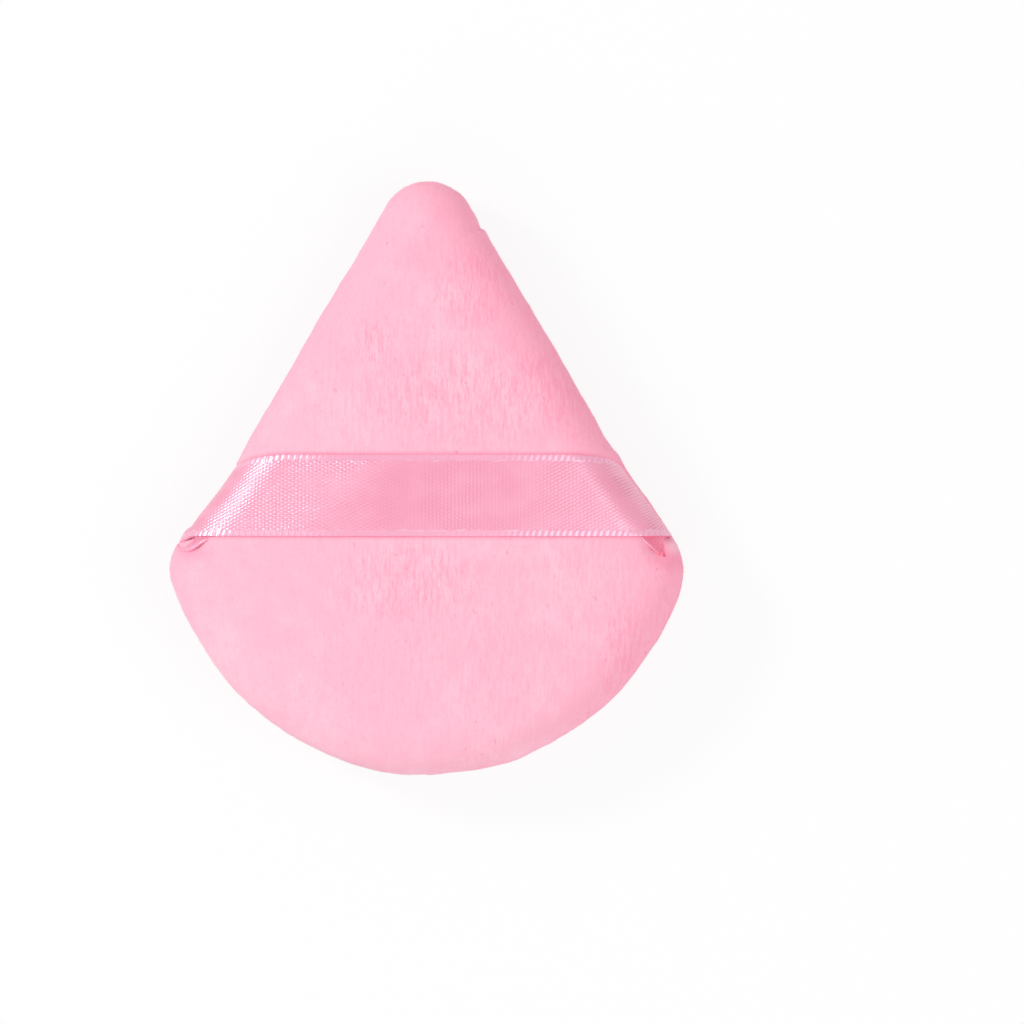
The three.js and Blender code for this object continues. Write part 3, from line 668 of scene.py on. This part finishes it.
class StrapPath:
    """Line of the strap over the pad's edge: along the face, round a quarter ellipse down to the
    widest line, round a smaller one into the seam, and on as a straight tail"""

    def __init__(self, form, strap):
        self.form = form
        self.strap = strap
        sizes = form.sizes
        right = form.points[form.right_side]
        order = np.argsort(right[:, 1])
        heights = np.array([STRAP_CENTRE_Y + STRAP_WIDTH / 2, STRAP_CENTRE_Y - STRAP_WIDTH / 2])
        self.top, foot = np.stack([np.interp(heights, right[order, 1], right[order, 0]), heights], -1)
        self.along = (foot - self.top) / np.linalg.norm(foot - self.top)
        self.out = np.array([-self.along[1], self.along[0]])
        offsets = right - self.top
        distance = offsets @ self.along
        order = np.argsort(distance)
        self.rise_along = distance[order]
        self.rise_out = (offsets @ self.out)[order]
        depth = form.edge_height - sizes.widest_line
        self.angle = np.linspace(math.pi / 2, -math.pi / 2, 400)
        over = self.angle > 0
        reach = np.where(over, sizes.edge_round, sizes.groove_depth) * (np.cos(self.angle) - 1)
        height = np.where(over, depth, sizes.widest_line) * np.sin(self.angle)
        self.length = np.concatenate([[0], np.cumsum(np.hypot(np.diff(reach), np.diff(height)))])

    def flat_reach(self, across, overrun):
        """Flat X at which the ribbon reaches a length past the start of its fold, at a place across it"""
        y = STRAP_CENTRE_Y + across
        flat_out = overrun - self.form.sizes.edge_round
        return self.top[0] + (flat_out - self.out[1] * (y - self.top[1])) / self.out[0]

    def place(self, flat_x, across, side):
        """Points of the ribbon's middle surface. The flat ribbon is bent about an axis parallel to
        the pad's side without stretching, except near its lower edge, which stays level."""
        form, sizes = self.form, self.form.sizes
        flat = np.stack([flat_x, STRAP_CENTRE_Y + across], -1) - self.top
        flat_out = flat @ self.out
        along = flat @ self.along
        past = flat_out + sizes.edge_round
        angle = np.interp(past, self.length, self.angle)
        tail = np.maximum(past - self.length[-1], 0)
        over = angle > 0
        edge_y = self.top[1] + along * self.along[1]
        reach = form.strap_reach(side, edge_y)
        groove = sizes.groove_depth + reach
        shape = np.where(over, sizes.edge_round * (np.cos(angle) - 1) - reach * np.cos(angle),
                         -groove + (groove - reach) * np.cos(angle)) - tail
        bent_out = np.where(past < 0, flat_out, shape)
        level = smooth_step(-across, 0.5 * MM, STRAP_WIDTH / 2) * 0.92
        along = along - level * np.maximum(flat_out - bent_out, 0) * self.out[1] / -self.along[1]
        rise = np.interp(along, self.rise_along, self.rise_out)
        grip = np.where(over, smooth_step(bent_out, -sizes.edge_round, 0), 1)
        plan = self.top + along[..., None] * self.along + (bent_out + grip * rise)[..., None] * self.out
        top = form.face_height(plan[..., 0], plan[..., 1]) + self.strap.rest_height
        lift = np.where(past < 0, 1, np.sin(angle))
        height = sizes.widest_line + lift * np.where(lift > 0, top - sizes.widest_line, sizes.widest_line)
        return np.stack([side * plan[..., 0], plan[..., 1], height], -1)


def rib_wave(strap, flat_x, across, slope):
    """Wave from -1 to 1 across the slanting ribs of the satin, which rise or fall along the ribbon"""
    return np.cos(2 * np.pi * (flat_x / strap.float_length - slope * across / strap.float_width))


def strap_relief(strap, flat_x, across):
    """Relief of the ribbon's face: floats in staggered rows on the body, the sum of two slanting
    waves and one along the ribbon, lower in the middle and at the right, and slanted weft loops on
    the two corded edges, which lie flatter towards the middle"""
    x = flat_x / MM
    body_edge = STRAP_WIDTH / 2 - strap.selvedge_width
    edge = smooth_step((np.abs(across) - body_edge) / MM, -0.06, 0.06)
    columns = np.cos(4 * np.pi * flat_x / strap.float_length)
    calm = plateau(x, -9, -1, 9, 16)
    body = (0.5 - 0.3 * calm) * rib_wave(strap, flat_x, across, 1)
    body = body + 0.25 * rib_wave(strap, flat_x, across, -1) + 0.25 * columns
    body = strap.weave_height * body * (1 - 0.65 * smooth_step(x, 2, 12)) * (1 - 0.5 * calm)
    loops = 0.5 + 0.5 * np.cos(2 * np.pi * (flat_x - 0.3 * across) / strap.picot_pitch)
    loops = loops * (0.25 + 0.75 * smooth_step(np.abs(x), 8, 15))
    half_cord = strap.selvedge_width / 2
    cord = 1 - ((np.abs(across) - body_edge - half_cord) / half_cord) ** 2
    return body * (1 - edge) + strap.picot_height * loops ** 1.5 * np.clip(cord, 0, 1) * edge


def grid_normals(points):
    """Unit normals of an open grid"""
    return unit(np.cross(np.gradient(points, axis=1), np.gradient(points, axis=0)))


def sheet_faces(rows, columns, first, flip):
    """Faces of a closed sheet of two grids, the upper one first, joined round their border"""
    row = np.arange(rows - 1)[:, None] * columns
    near = (first + row + np.arange(columns - 1)).ravel()
    upper = np.stack([near, near + 1, near + columns + 1, near + columns], -1)
    under = rows * columns
    lower = upper[:, ::-1] + under
    border = first + np.concatenate([
        np.arange(columns),
        (np.arange(1, rows) + 1) * columns - 1,
        (rows - 1) * columns + np.arange(columns - 2, -1, -1),
        np.arange(rows - 2, 0, -1) * columns,
    ])
    following = np.roll(border, -1)
    rim = np.stack([following, border, border + under, following + under], -1)
    faces = np.concatenate([upper, lower, rim])
    return faces[:, ::-1] if flip else faces


def sheet_vertices(middle, normals, thickness, relief):
    """Upper and lower points of a sheet round its middle surface"""
    upper = middle + normals * (thickness / 2 + relief)[..., None]
    lower = middle - normals * thickness / 2
    return np.concatenate([upper.reshape(-1, 3), lower.reshape(-1, 3)])


def strap_half(path, strap, side):
    """Half of the strap from the puff's middle to its tail. Returns vertices, faces, flat
    coordinates and painted shade, and the line that lies a little inside its lower edge."""
    steps, lanes = 430, 106
    across = np.linspace(-1, 1, lanes) * STRAP_WIDTH / 2
    end = path.flat_reach(across, path.length[-1] + strap.tail_length)
    flat_x = np.linspace(0, 1, steps)[:, None] * end
    across = np.broadcast_to(across, flat_x.shape)
    middle = path.place(flat_x, across, side)
    pattern_x = side * flat_x
    on_face = 1 - smooth_step(flat_x, end - 12 * MM, end - 8 * MM)
    sway = 0.03 * lattice_noise(pattern_x, across, 6, 9, 71, shift_x=40)
    middle[..., 2] += MM * (sway - 0.06 * (across / (STRAP_WIDTH / 2)) ** 4) * on_face
    if side == LEFT:
        low_edge = smooth_step(-across, 2.2 * MM, STRAP_WIDTH / 2)
        middle[..., 1] -= TIP_SHIFT * low_edge * smooth_step(-middle[..., 0] / MM, 27.2, 29.4)
    normals = grid_normals(middle) * -side
    vertices = sheet_vertices(middle, normals, strap.thickness, strap_relief(strap, pattern_x, across))
    flat = np.stack([pattern_x, across], -1).reshape(-1, 2)
    tilt = normals[..., 2]
    # Painted shade: darker where the ribbon turns steeply down over the pad's edge, about half as much at the
    # left end
    depth = 0.15 * (1 - smooth_step(tilt, 0.65, 0.85)) + 0.4 * (1 - smooth_step(tilt, 0.05, 0.65))
    depth = depth * (1 if side == RIGHT else 0.55)
    line = middle[:, 4]
    line = line[:np.argmax(np.abs(line[:, 0])) + 1]
    return vertices, sheet_faces(steps, lanes, 0, side == RIGHT), flat, depth, line


def pile_height(surface, plan):
    """Height of the panel's pile at places on its plan: the mean of its points within 0.15 mm or so,
    weighted by a bell curve of their distance"""
    middle, reach = plan.mean((0, 1)), np.ptp(plan, axis=(0, 1)) / 2 + 1 * MM
    near = surface[(np.abs(surface[..., :2] - middle) < reach).all(-1) & (surface[..., 2] > 1 * MM)]
    apart = ((plan[..., None, :] - near[:, :2]) ** 2).sum(-1)
    closest = apart.min(-1, keepdims=True)
    weight = np.exp(-(apart - closest) / (0.15 * MM) ** 2)
    return (weight * near[:, 2]).sum(-1) / weight.sum(-1)


def return_fold(strap, side, first, surface, line):
    """The little fold of ribbon that shows below the strap's lower edge beside the seam. It hangs
    from the underside of that edge and lies on the dented edge of the pad, at a height fitted to
    the pile as a cubic in its two directions, bulging down at the left. Its border dips into the pile."""
    steps = 60
    down, out = np.meshgrid(np.linspace(0, 1, steps), np.linspace(0, 1, steps), indexing="ij")
    start, end = FOLD_SPAN[side]
    reach = (start + (end - start) * out) * MM
    head = np.stack([np.interp(reach, np.abs(line[:, 0]), line[:, i]) for i in range(3)], -1)
    inner, outer = np.array(FOLD_FOOT[side]) * MM
    foot = inner + (outer - inner) * out[..., None]
    plan = head[..., :2] * (1 - down[..., None]) + foot * down[..., None]
    plan[..., 1] -= FOLD_BELLY[side] * MM * np.sin(np.pi * out ** 1.7) * down
    terms = np.stack([down ** i * out ** j for i in range(4) for j in range(4 - i)], -1)
    pile = pile_height(surface, plan)
    pile = terms @ np.linalg.lstsq(terms.reshape(-1, terms.shape[-1]), pile.ravel(), rcond=None)[0]
    laid = smooth_step(down, 0.15, 0.95)
    inside = np.minimum(1 - down, np.minimum(out, 1 - out))
    height = (head[..., 2] - FOLD_DROP) * (1 - laid) + (pile + FOLD_RISE[side] * MM) * laid
    height = height - FOLD_DIP * (1 - smooth_step(inside, 0, 0.16))
    middle = raised(plan, height)
    normals = grid_normals(middle)
    normals = normals * np.sign(normals[..., 2:])
    flat = (plan - [0, FOLD_WEAVE_Y * MM]) * FOLD_WEAVE_STRETCH
    ribs = rib_wave(strap, flat[..., 0], flat[..., 1], 1)
    # Painted shade inside the fold: over all of it at the right, except its pale hem, and along the crease
    # under the strap's edge at the left
    if side == RIGHT:
        hem = bump(out, 0.1, 0.06) * (1 - smooth_step(down, 0.7, 0.95))
        depth = (0.8 + 0.2 * smooth_step(out, 0.2, 0.8)) * (1 - hem)
    else:
        hem = bump(down, 0.86, 0.07) * 0.5
        depth = 0.05 + 0.5 * bump(down, 0, 0.35)
    relief = MM * (0.012 * ribs * (1 - hem) + 0.04 * hem)
    vertices = sheet_vertices(middle, normals, strap.thickness, relief)
    return vertices, sheet_faces(steps, steps, first, side == RIGHT), flat.reshape(-1, 2), depth


def build_strap(form, strap, side, name, surface):
    """One half of the strap, with its return fold, as a mesh object"""
    *band, line = strap_half(StrapPath(form, strap), strap, side)
    fold = return_fold(strap, side, len(band[0]), surface, line)
    vertices, faces = (np.concatenate([band[i], fold[i]]) for i in (0, 1))
    flat = np.concatenate([band[2], band[2], fold[2], fold[2]])
    depth = np.concatenate([np.tile(band[3].ravel(), 2), np.tile(fold[3].ravel(), 2)])
    vertices = vertices + np.array([0, 0, SEAM_HEIGHT])
    # The fold attribute carries the painted shade of the band and of its return fold
    return write_mesh(name, vertices, faces, NO_TRIANGLES, flat, fold=depth)


class Value:
    """A shader socket that takes part in Python arithmetic"""

    def __init__(self, recipe, socket):
        self.recipe = recipe
        self.socket = socket

    def __add__(self, other):
        return self.recipe.maths("ADD", self, other)

    def __mul__(self, other):
        return self.recipe.maths("MULTIPLY", self, other)

    def __sub__(self, other):
        return self.recipe.maths("SUBTRACT", self, other)

    def __rsub__(self, other):
        return self.recipe.maths("SUBTRACT", other, self)

    __radd__ = __add__
    __rmul__ = __mul__


class Recipe:
    """A material and the short ways to add nodes to it"""

    def __init__(self, name):
        self.material = bpy.data.materials.new(name)
        self.material.use_nodes = True
        self.tree = self.material.node_tree
        self.tree.nodes.clear()

    def node(self, kind, settings=None, inputs=None):
        """Adds a node, sets its settings, then its sockets from values or other sockets"""
        node = self.tree.nodes.new(kind)
        for key, value in (settings or {}).items():
            setattr(node, key, value)
        for key, value in (inputs or {}).items():
            if isinstance(value, Value):
                self.tree.links.new(value.socket, node.inputs[key])
            else:
                node.inputs[key].default_value = value
        return node

    def value(self, node, output=0):
        return Value(self, node.outputs[output])

    def maths(self, operation, *inputs):
        return self.value(self.node("ShaderNodeMath", {"operation": operation}, dict(enumerate(inputs))))

    def wave(self, turn):
        """Cosine of a turn in radians, brought to 0 to 1"""
        return self.maths("COSINE", turn) * 0.5 + 0.5

    def step(self, value, low, high):
        """Smooth share of the way from low to high"""
        inputs = {"Value": value, "From Min": low, "From Max": high}
        return self.value(self.node("ShaderNodeMapRange", {"interpolation_type": "SMOOTHSTEP"}, inputs))

    def plateau(self, value, *limits):
        """Smooth plateau: rises between the first two limits and falls between the last two"""
        return self.step(value, *limits[:2]) * (1 - self.step(value, *limits[2:]))

    def mix(self, share, first, second):
        """Mix of two colours, each a colour of the puff or a value"""
        first, second = (colour if isinstance(colour, Value) else (*colour, 1.0)
                         for colour in (first, second))
        inputs = {0: share, 6: first, 7: second}
        return self.value(self.node("ShaderNodeMix", {"data_type": "RGBA"}, inputs), 2)

    def split(self, vector):
        """The three numbers of a vector"""
        node = self.node("ShaderNodeSeparateXYZ", {}, {0: vector})
        return [self.value(node, i) for i in range(3)]

    def flat_place(self):
        """Place on the flat cloth in millimetres, from the piece's own UV map"""
        uv = self.value(self.node("ShaderNodeUVMap", {"uv_map": "cloth"}))
        span = UV_SPAN / MM
        inputs = {"Vector": uv, "Location": (-span / 2, -span / 2, 0), "Scale": (span, span, 1)}
        return self.split(self.value(self.node("ShaderNodeMapping", {}, inputs)))[:2]

    def object_place(self):
        """Place on the piece in metres"""
        return self.value(self.node("ShaderNodeTexCoord"), "Object")

    def attribute(self, name):
        """A number that the mesh carries for each vertex"""
        return self.value(self.node("ShaderNodeAttribute", {"attribute_name": name}), "Fac")

    def vector(self, x, y, z=0.0):
        return self.value(self.node("ShaderNodeCombineXYZ", {}, {0: x, 1: y, 2: z}))

    def noise(self, x, y, layer, detail, roughness=0.5, distortion=0.0):
        """Noise on the flat cloth, in a layer of its own"""
        inputs = {"Vector": self.vector(x, y, layer), "Scale": 1.0, "Detail": detail,
                  "Roughness": roughness, "Distortion": distortion}
        return self.value(self.node("ShaderNodeTexNoise", {}, inputs))

    def bump(self, height, distance, strength):
        inputs = {"Height": height, "Distance": distance, "Strength": strength}
        return self.value(self.node("ShaderNodeBump", {}, inputs))

    def finish(self, shader):
        """Sends a shader node to the output"""
        output = self.node("ShaderNodeOutputMaterial")
        self.tree.links.new(shader.outputs[0], output.inputs["Surface"])
        return self.material

    def cloth(self, inputs):
        """Finishes with a Principled shader"""
        return self.finish(self.node("ShaderNodeBsdfPrincipled", {}, inputs))


def velour_material(colours):
    """Short pink pile: slow blotches, streaks along the cloth, fine grain, small dark specks, a pale
    sheen, and painted light and shade carried by the lean attribute"""
    recipe = Recipe("velour")
    x, y = recipe.flat_place()
    lean, nap = recipe.attribute("lean"), recipe.attribute("nap")
    slow = recipe.noise(x * 0.09, y * 0.08, 0.0, 2)
    streak = recipe.noise(x * 2.5, y * 0.34, 3.0, 2, 0.6)
    dashes = recipe.noise(x * 4.6, y * 1.1, 8.0, 2, 0.6)
    grain = recipe.noise(x * 2.3, y * 1.7, 5.0, 3, 0.7, 1.2)
    blotch = recipe.noise(x * 0.5, y * 0.4, 7.0, 2)
    right = recipe.step(x, -20.0, -6.0)
    warp = (recipe.noise(x * 1.6, y * 1.3, 2.0, 1) - 0.5) * 0.8
    place = recipe.vector((x + warp) * 0.85, (y - warp) * 0.60, 1.0)
    cells = recipe.node("ShaderNodeTexVoronoi", {}, {"Vector": place, "Scale": 1.0})
    lot = recipe.value(recipe.node("ShaderNodeSeparateColor", {}, {0: recipe.value(cells, "Color")}))
    speck = recipe.step(recipe.value(cells), 0.17, 0.05) * recipe.step(lot, 0.2, 1.0) * right
    # Paler in the slow blotches and where the lean attribute paints light
    share = slow * 2.2 + blotch * 1.4 - 1.6 - lean + nap * 0.3
    tone = recipe.mix(recipe.step(share, 0.0, 1.2), colours.velour, colours.velour_pale_and_lit)
    # Deeper where the lean attribute paints shade, and in the streaks, dashes and grain below
    deep = recipe.maths("MAXIMUM", lean, 0.0) * 0.9
    deep = deep + recipe.step(streak, 0.58, 0.36) * (0.07 + 0.40 * nap)
    deep = deep + recipe.step(dashes, 0.54, 0.36) * (0.05 + 0.33 * nap)
    deep = recipe.maths("MINIMUM", deep + recipe.step(grain, 0.50, 0.32) * (0.24 - 0.03 * right), 1.0)
    tone = recipe.mix(deep, tone, colours.velour_deep_and_shaded)
    tone = recipe.mix(speck * 0.6, tone, colours.velour_speck)
    height = (streak + dashes) * (0.2 + nap) + grain * 0.8 - speck * 0.8
    return recipe.cloth({
        "Base Color": tone, "Roughness": 1.0, "Specular IOR Level": 0.1,
        "Sheen Weight": 0.12, "Sheen Roughness": 0.4, "Sheen Tint": (1.0, 0.86, 0.93, 1.0),
        "Normal": recipe.bump(height, 0.05 * MM, 0.7),
    })


def satin_material(colours, strap):
    """Woven satin: diagonal ribs and floats, weft loops on the corded edges, a soft pale gloss,
    painted shade in its folds, on its steep ends and in the gaps of its bends, and a painted
    highlight along a ridge beside each corded edge
    """
    recipe = Recipe("satin")
    x, y = recipe.flat_place()
    # The fold attribute is painted shade; its steps also mark where the ribbon bends and where it turns steep
    fold = recipe.attribute("fold")
    half = STRAP_WIDTH / 2 / MM
    across = recipe.maths("ABSOLUTE", y)
    edge = recipe.step(across, half - 0.72, half - 0.60)
    wander = recipe.noise(x * 0.8, y * 0.1, 6.0, 2) * 0.5
    # A thin wavy ridge beside each corded edge, with a painted highlight on it
    highlit_ridge = 1 - recipe.step(recipe.maths("ABSOLUTE", across - (half - 0.95) - wander), 0.0, 0.09)
    sway = (recipe.noise(x * 0.3, y * 0.3, 4.0, 1) - 0.5) * 4.0
    clear = recipe.step(recipe.noise(x * 0.3, y * 0.4, 12.0, 1), 0.3, 0.65)
    broken = recipe.step(recipe.noise(x * 0.55, y * 0.3, 9.0, 2), 0.45, 0.65)
    fibre = recipe.noise(x * 0.9, y * 6.0, 0.0, 2)
    curved = recipe.step(fold, 0.03, 0.14)
    tilted = recipe.step(fold, 0.5, 0.75)
    calm = recipe.plateau(x, -9.0, -1.0, 9.0, 16.0)
    long_turn = x * (2 * math.pi * MM / strap.float_length)
    wide_turn = y * (2 * math.pi * MM / strap.float_width)
    loop_turn = 2 * math.pi * MM / strap.picot_pitch
    rising = recipe.wave(long_turn - wide_turn)
    falling = recipe.wave(long_turn + wide_turn)
    columns = recipe.wave(long_turn * 2 + sway)
    loops = recipe.wave(x * loop_turn - y * (0.3 * loop_turn))
    ends = recipe.step(recipe.maths("ABSOLUTE", x), 8.0, 15.0) * 0.85 + 0.15
    weave = rising * (0.5 - calm * 0.3) + tilted * 0.3
    weave = weave + (falling * 0.25 + columns * (calm * 0.15 + 0.25)) * (1 - tilted)
    shade = (1 - weave) * (clear * 0.7 + 0.3) + (fibre - 0.5) * 0.4
    body = recipe.mix(recipe.maths("MINIMUM", shade, 1.0), colours.satin, colours.satin_deep)
    gaps = (1 - loops) * ends * 0.3
    hem = recipe.mix(gaps + (1 - ends) * fibre * 0.4, colours.selvedge, colours.satin_deep)
    tone = recipe.mix(edge, body, hem)
    # Painted highlight along the ridge
    tone = recipe.mix(highlit_ridge * broken * 0.8, tone, (0.98, 0.68, 0.82))
    # Gaps between the floats open where the ribbon bends; their darkness is painted shade
    bent = curved * (1 - recipe.step(fold, 0.45, 0.65)) * (1 - edge * 0.6)
    ribs = recipe.step(rising, 0.7, 0.1) * bent * (0.4 + clear * 0.6)
    tone = recipe.mix(ribs * 0.55, tone, colours.satin_rib_shade)
    # Painted shade inside the folds and on the steep ends
    tone = recipe.mix(recipe.step(fold, 0.2, 0.85), tone, colours.satin_fold_shade)
    slant = x - y * 1.03
    shiny = recipe.plateau(slant, -20.5, -17.5, -14.0, -6.0)
    quiet = recipe.step(x, 2.0, 12.0) * (1 - curved)
    height = weave * (1 - edge) * (1 + shiny * 1.7 - quiet * 0.7 - tilted * 0.5) * (1 - calm * 0.45)
    height = height + loops * ends * edge * 1.4 + fibre * 0.3 + highlit_ridge * broken
    return recipe.cloth({
        "Base Color": tone, "Roughness": 0.36, "IOR": 2.08, "Specular IOR Level": 1.0,
        "Specular Tint": (0.9, 0.93, 1.0, 1.0), "Coat Weight": 0.4, "Coat Roughness": 0.22,
        "Normal": recipe.bump(height, 0.035 * MM, 0.8),
    })


def thread_material(colours):
    """Twisted polyester thread: fine slanting plies, with painted shade between them"""
    recipe = Recipe("thread")
    x, y, z = recipe.split(recipe.object_place())
    plies = recipe.wave((x + y + z * 1.6) * (2 * math.pi / (0.35 * MM)))
    # Painted shade between the plies
    between = tuple(channel * 0.8 for channel in colours.thread)
    tone = recipe.mix((1 - plies) * 0.4, colours.thread, between)
    relief = recipe.bump(plies, 0.03 * MM, 0.8)
    return recipe.cloth({"Base Color": tone, "Roughness": 0.5, "Normal": relief})


def foam_material(colours):
    """Open-cell foam: pale walls round small cells, with painted shade inside them"""
    recipe = Recipe("foam")
    inputs = {"Vector": recipe.object_place(), "Scale": 1 / (0.6 * MM)}
    cells = recipe.node("ShaderNodeTexVoronoi", {"feature": "DISTANCE_TO_EDGE"}, inputs)
    hollow = recipe.step(recipe.value(cells), 0.05, 0.25)
    # Painted shade inside the open cells
    tone = recipe.mix(hollow, colours.foam, colours.foam_cell_shade)
    relief = recipe.bump(1 - hollow, 0.15 * MM, 0.8)
    return recipe.cloth({"Base Color": tone, "Roughness": 0.95, "Normal": relief})


def floor_material(colours):
    """Pale floor that shows almost white to the camera and keeps the shadow of the puff"""
    recipe = Recipe("pale_floor")
    path = recipe.node("ShaderNodeLightPath")
    seen = recipe.value(path, "Is Camera Ray") + recipe.value(path, "Is Glossy Ray")
    seen = recipe.maths("MINIMUM", seen + recipe.value(path, "Is Transmission Ray"), 1.0)
    plain = recipe.node("ShaderNodeBsdfDiffuse", {}, {"Color": (*colours.floor, 1.0)})
    white = recipe.node("ShaderNodeEmission", {}, {"Color": (1.0, 1.0, 1.0, 1.0), "Strength": 1.0})
    inputs = {0: seen * 0.85, 1: recipe.value(plain), 2: recipe.value(white)}
    return recipe.finish(recipe.node("ShaderNodeMixShader", {}, inputs))


def dress(piece, material):
    """Gives a piece its material"""
    piece.data.materials.clear()
    piece.data.materials.append(material)


class PUFF_OT_velour_panels(bpy.types.Operator):
    """Build the front and back velour panels and their loose fibres"""
    bl_idname = "puff.velour_panels"
    bl_label = "Velour panels"

    def execute(self, context):
        sizes = context.scene.puff_pad
        form = PadForm(sizes)
        material = velour_material(context.scene.puff_colours)
        front = build_panel(form, "velour_front", FRONT, sizes.face_columns)
        back = build_panel(form, "velour_back", BACK, sizes.face_columns * 2 // 3)
        for piece, node in ((front, "front_velour_panel"), (back, "back_velour_panel")):
            dress(piece, material)
            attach(piece, "pad")
            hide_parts(node)
        fibres = build_pile(form, sizes.fibre_count, seed=81)
        dress(fibres, material)
        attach(fibres, "pad")
        return {"FINISHED"}


class PUFF_OT_foam_core(bpy.types.Operator):
    """Build the foam core inside the panels"""
    bl_idname = "puff.foam_core"
    bl_label = "Foam core"

    def execute(self, context):
        foam = build_foam(PadForm(context.scene.puff_pad), columns=400)
        dress(foam, foam_material(context.scene.puff_colours))
        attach(foam, "pad")
        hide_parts("foam_core")
        return {"FINISHED"}


class PUFF_OT_strap(bpy.types.Operator):
    """Build the two halves of the satin strap, which meet in the puff's middle"""
    bl_idname = "puff.strap"
    bl_label = "Satin strap"

    def execute(self, context):
        form = PadForm(context.scene.puff_pad)
        strap = context.scene.puff_strap
        material = satin_material(context.scene.puff_colours, strap)
        halves = ((RIGHT, "strap_right_half", ("strap_right_end",)),
                  (LEFT, "strap_left_half", ("strap_left_end", "strap_band")))
        surface = panel_surface(form, FRONT, context.scene.puff_pad.face_columns)[0]
        for side, name, nodes in halves:
            piece = build_strap(form, strap, side, name, surface)
            dress(piece, material)
            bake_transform(piece)
            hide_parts(*nodes)
        return {"FINISHED"}


class PUFF_OT_threads(bpy.types.Operator):
    """Finish the three sewing threads inside the seam"""
    bl_idname = "puff.threads"
    bl_label = "Sewing threads"

    def execute(self, context):
        material = thread_material(context.scene.puff_colours)
        for name in ("needle_thread", "bobbin_thread", "closing_thread"):
            dress(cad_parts[name], material)
        return {"FINISHED"}


class PUFF_OT_stage(bpy.types.Operator):
    """Set up the pale floor, the soft studio light and the camera above the puff"""
    bl_idname = "puff.stage"
    bl_label = "Stage"

    def execute(self, context):
        scene = context.scene
        floor_mesh = bpy.data.meshes.new("floor")
        corners = [(x * FLOOR_REACH, y * FLOOR_REACH, 0) for x, y in ((-1, -1), (1, -1), (1, 1), (-1, 1))]
        floor_mesh.from_pydata(corners, [], [(0, 1, 2, 3)])
        floor = bpy.data.objects.new("floor", floor_mesh)
        scene.collection.objects.link(floor)
        dress(floor, floor_material(scene.puff_colours))

        world = bpy.data.worlds.new("soft_room")
        world.use_nodes = True
        background = world.node_tree.nodes["Background"]
        background.inputs["Color"].default_value = (1.0, 0.99, 1.0, 1.0)
        background.inputs["Strength"].default_value = ROOM_LIGHT
        scene.world = world
        for lamp in LAMPS:
            self.lamp(scene, *lamp)

        camera_data = bpy.data.cameras.new("camera")
        camera = bpy.data.objects.new("camera", camera_data)
        camera_data.sensor_width = 36
        camera_data.lens = camera_data.sensor_width * (CAMERA_PLACE[2] - SEAM_HEIGHT) / CAMERA_FIELD
        camera_data.clip_start = 0.01
        camera_data.clip_end = 10
        camera.location = CAMERA_PLACE
        scene.collection.objects.link(camera)
        scene.camera = camera
        scene.view_settings.view_transform = "Standard"
        return {"FINISHED"}

    def lamp(self, scene, name, place, size, watts):
        """A round soft lamp that points at the puff"""
        data = bpy.data.lights.new(name, "AREA")
        data.shape = "DISK"
        data.size = size
        data.energy = watts
        lamp = bpy.data.objects.new(name, data)
        lamp.location = place
        aim = -np.array(place) / np.linalg.norm(place)
        lamp.rotation_euler = (math.acos(-aim[2]), 0, math.atan2(aim[1], aim[0]) - math.pi / 2)
        scene.collection.objects.link(lamp)


class PUFF_PT_panel(bpy.types.Panel):
    """Sidebar panel with the puff's sizes, colours and pieces"""
    bl_label = "Powder Puff"
    bl_idname = "PUFF_PT_panel"
    bl_space_type = "VIEW_3D"
    bl_region_type = "UI"
    bl_category = "Powder Puff"

    def draw(self, context):
        for group in (context.scene.puff_pad, context.scene.puff_strap, context.scene.puff_colours):
            box = self.layout.box()
            for name in group.__annotations__:
                box.prop(group, name)
        for operator in OPERATORS:
            self.layout.operator(operator.bl_idname)


OPERATORS = (PUFF_OT_stage, PUFF_OT_velour_panels, PUFF_OT_foam_core, PUFF_OT_strap, PUFF_OT_threads)
GROUPS = {"puff_pad": PadSizes, "puff_strap": StrapSizes, "puff_colours": PuffColours}


def register():
    for item in (*GROUPS.values(), *OPERATORS, PUFF_PT_panel):
        bpy.utils.register_class(item)
    for name, group in GROUPS.items():
        setattr(bpy.types.Scene, name, PointerProperty(type=group))


def unregister():
    for name in GROUPS:
        delattr(bpy.types.Scene, name)
    for item in reversed((*GROUPS.values(), *OPERATORS, PUFF_PT_panel)):
        bpy.utils.unregister_class(item)


def main():
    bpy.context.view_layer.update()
    register()
    bpy.ops.puff.stage()
    bpy.ops.puff.velour_panels()
    bpy.ops.puff.foam_core()
    bpy.ops.puff.strap()
    bpy.ops.puff.threads()


if __name__ == "__main__":
    main()
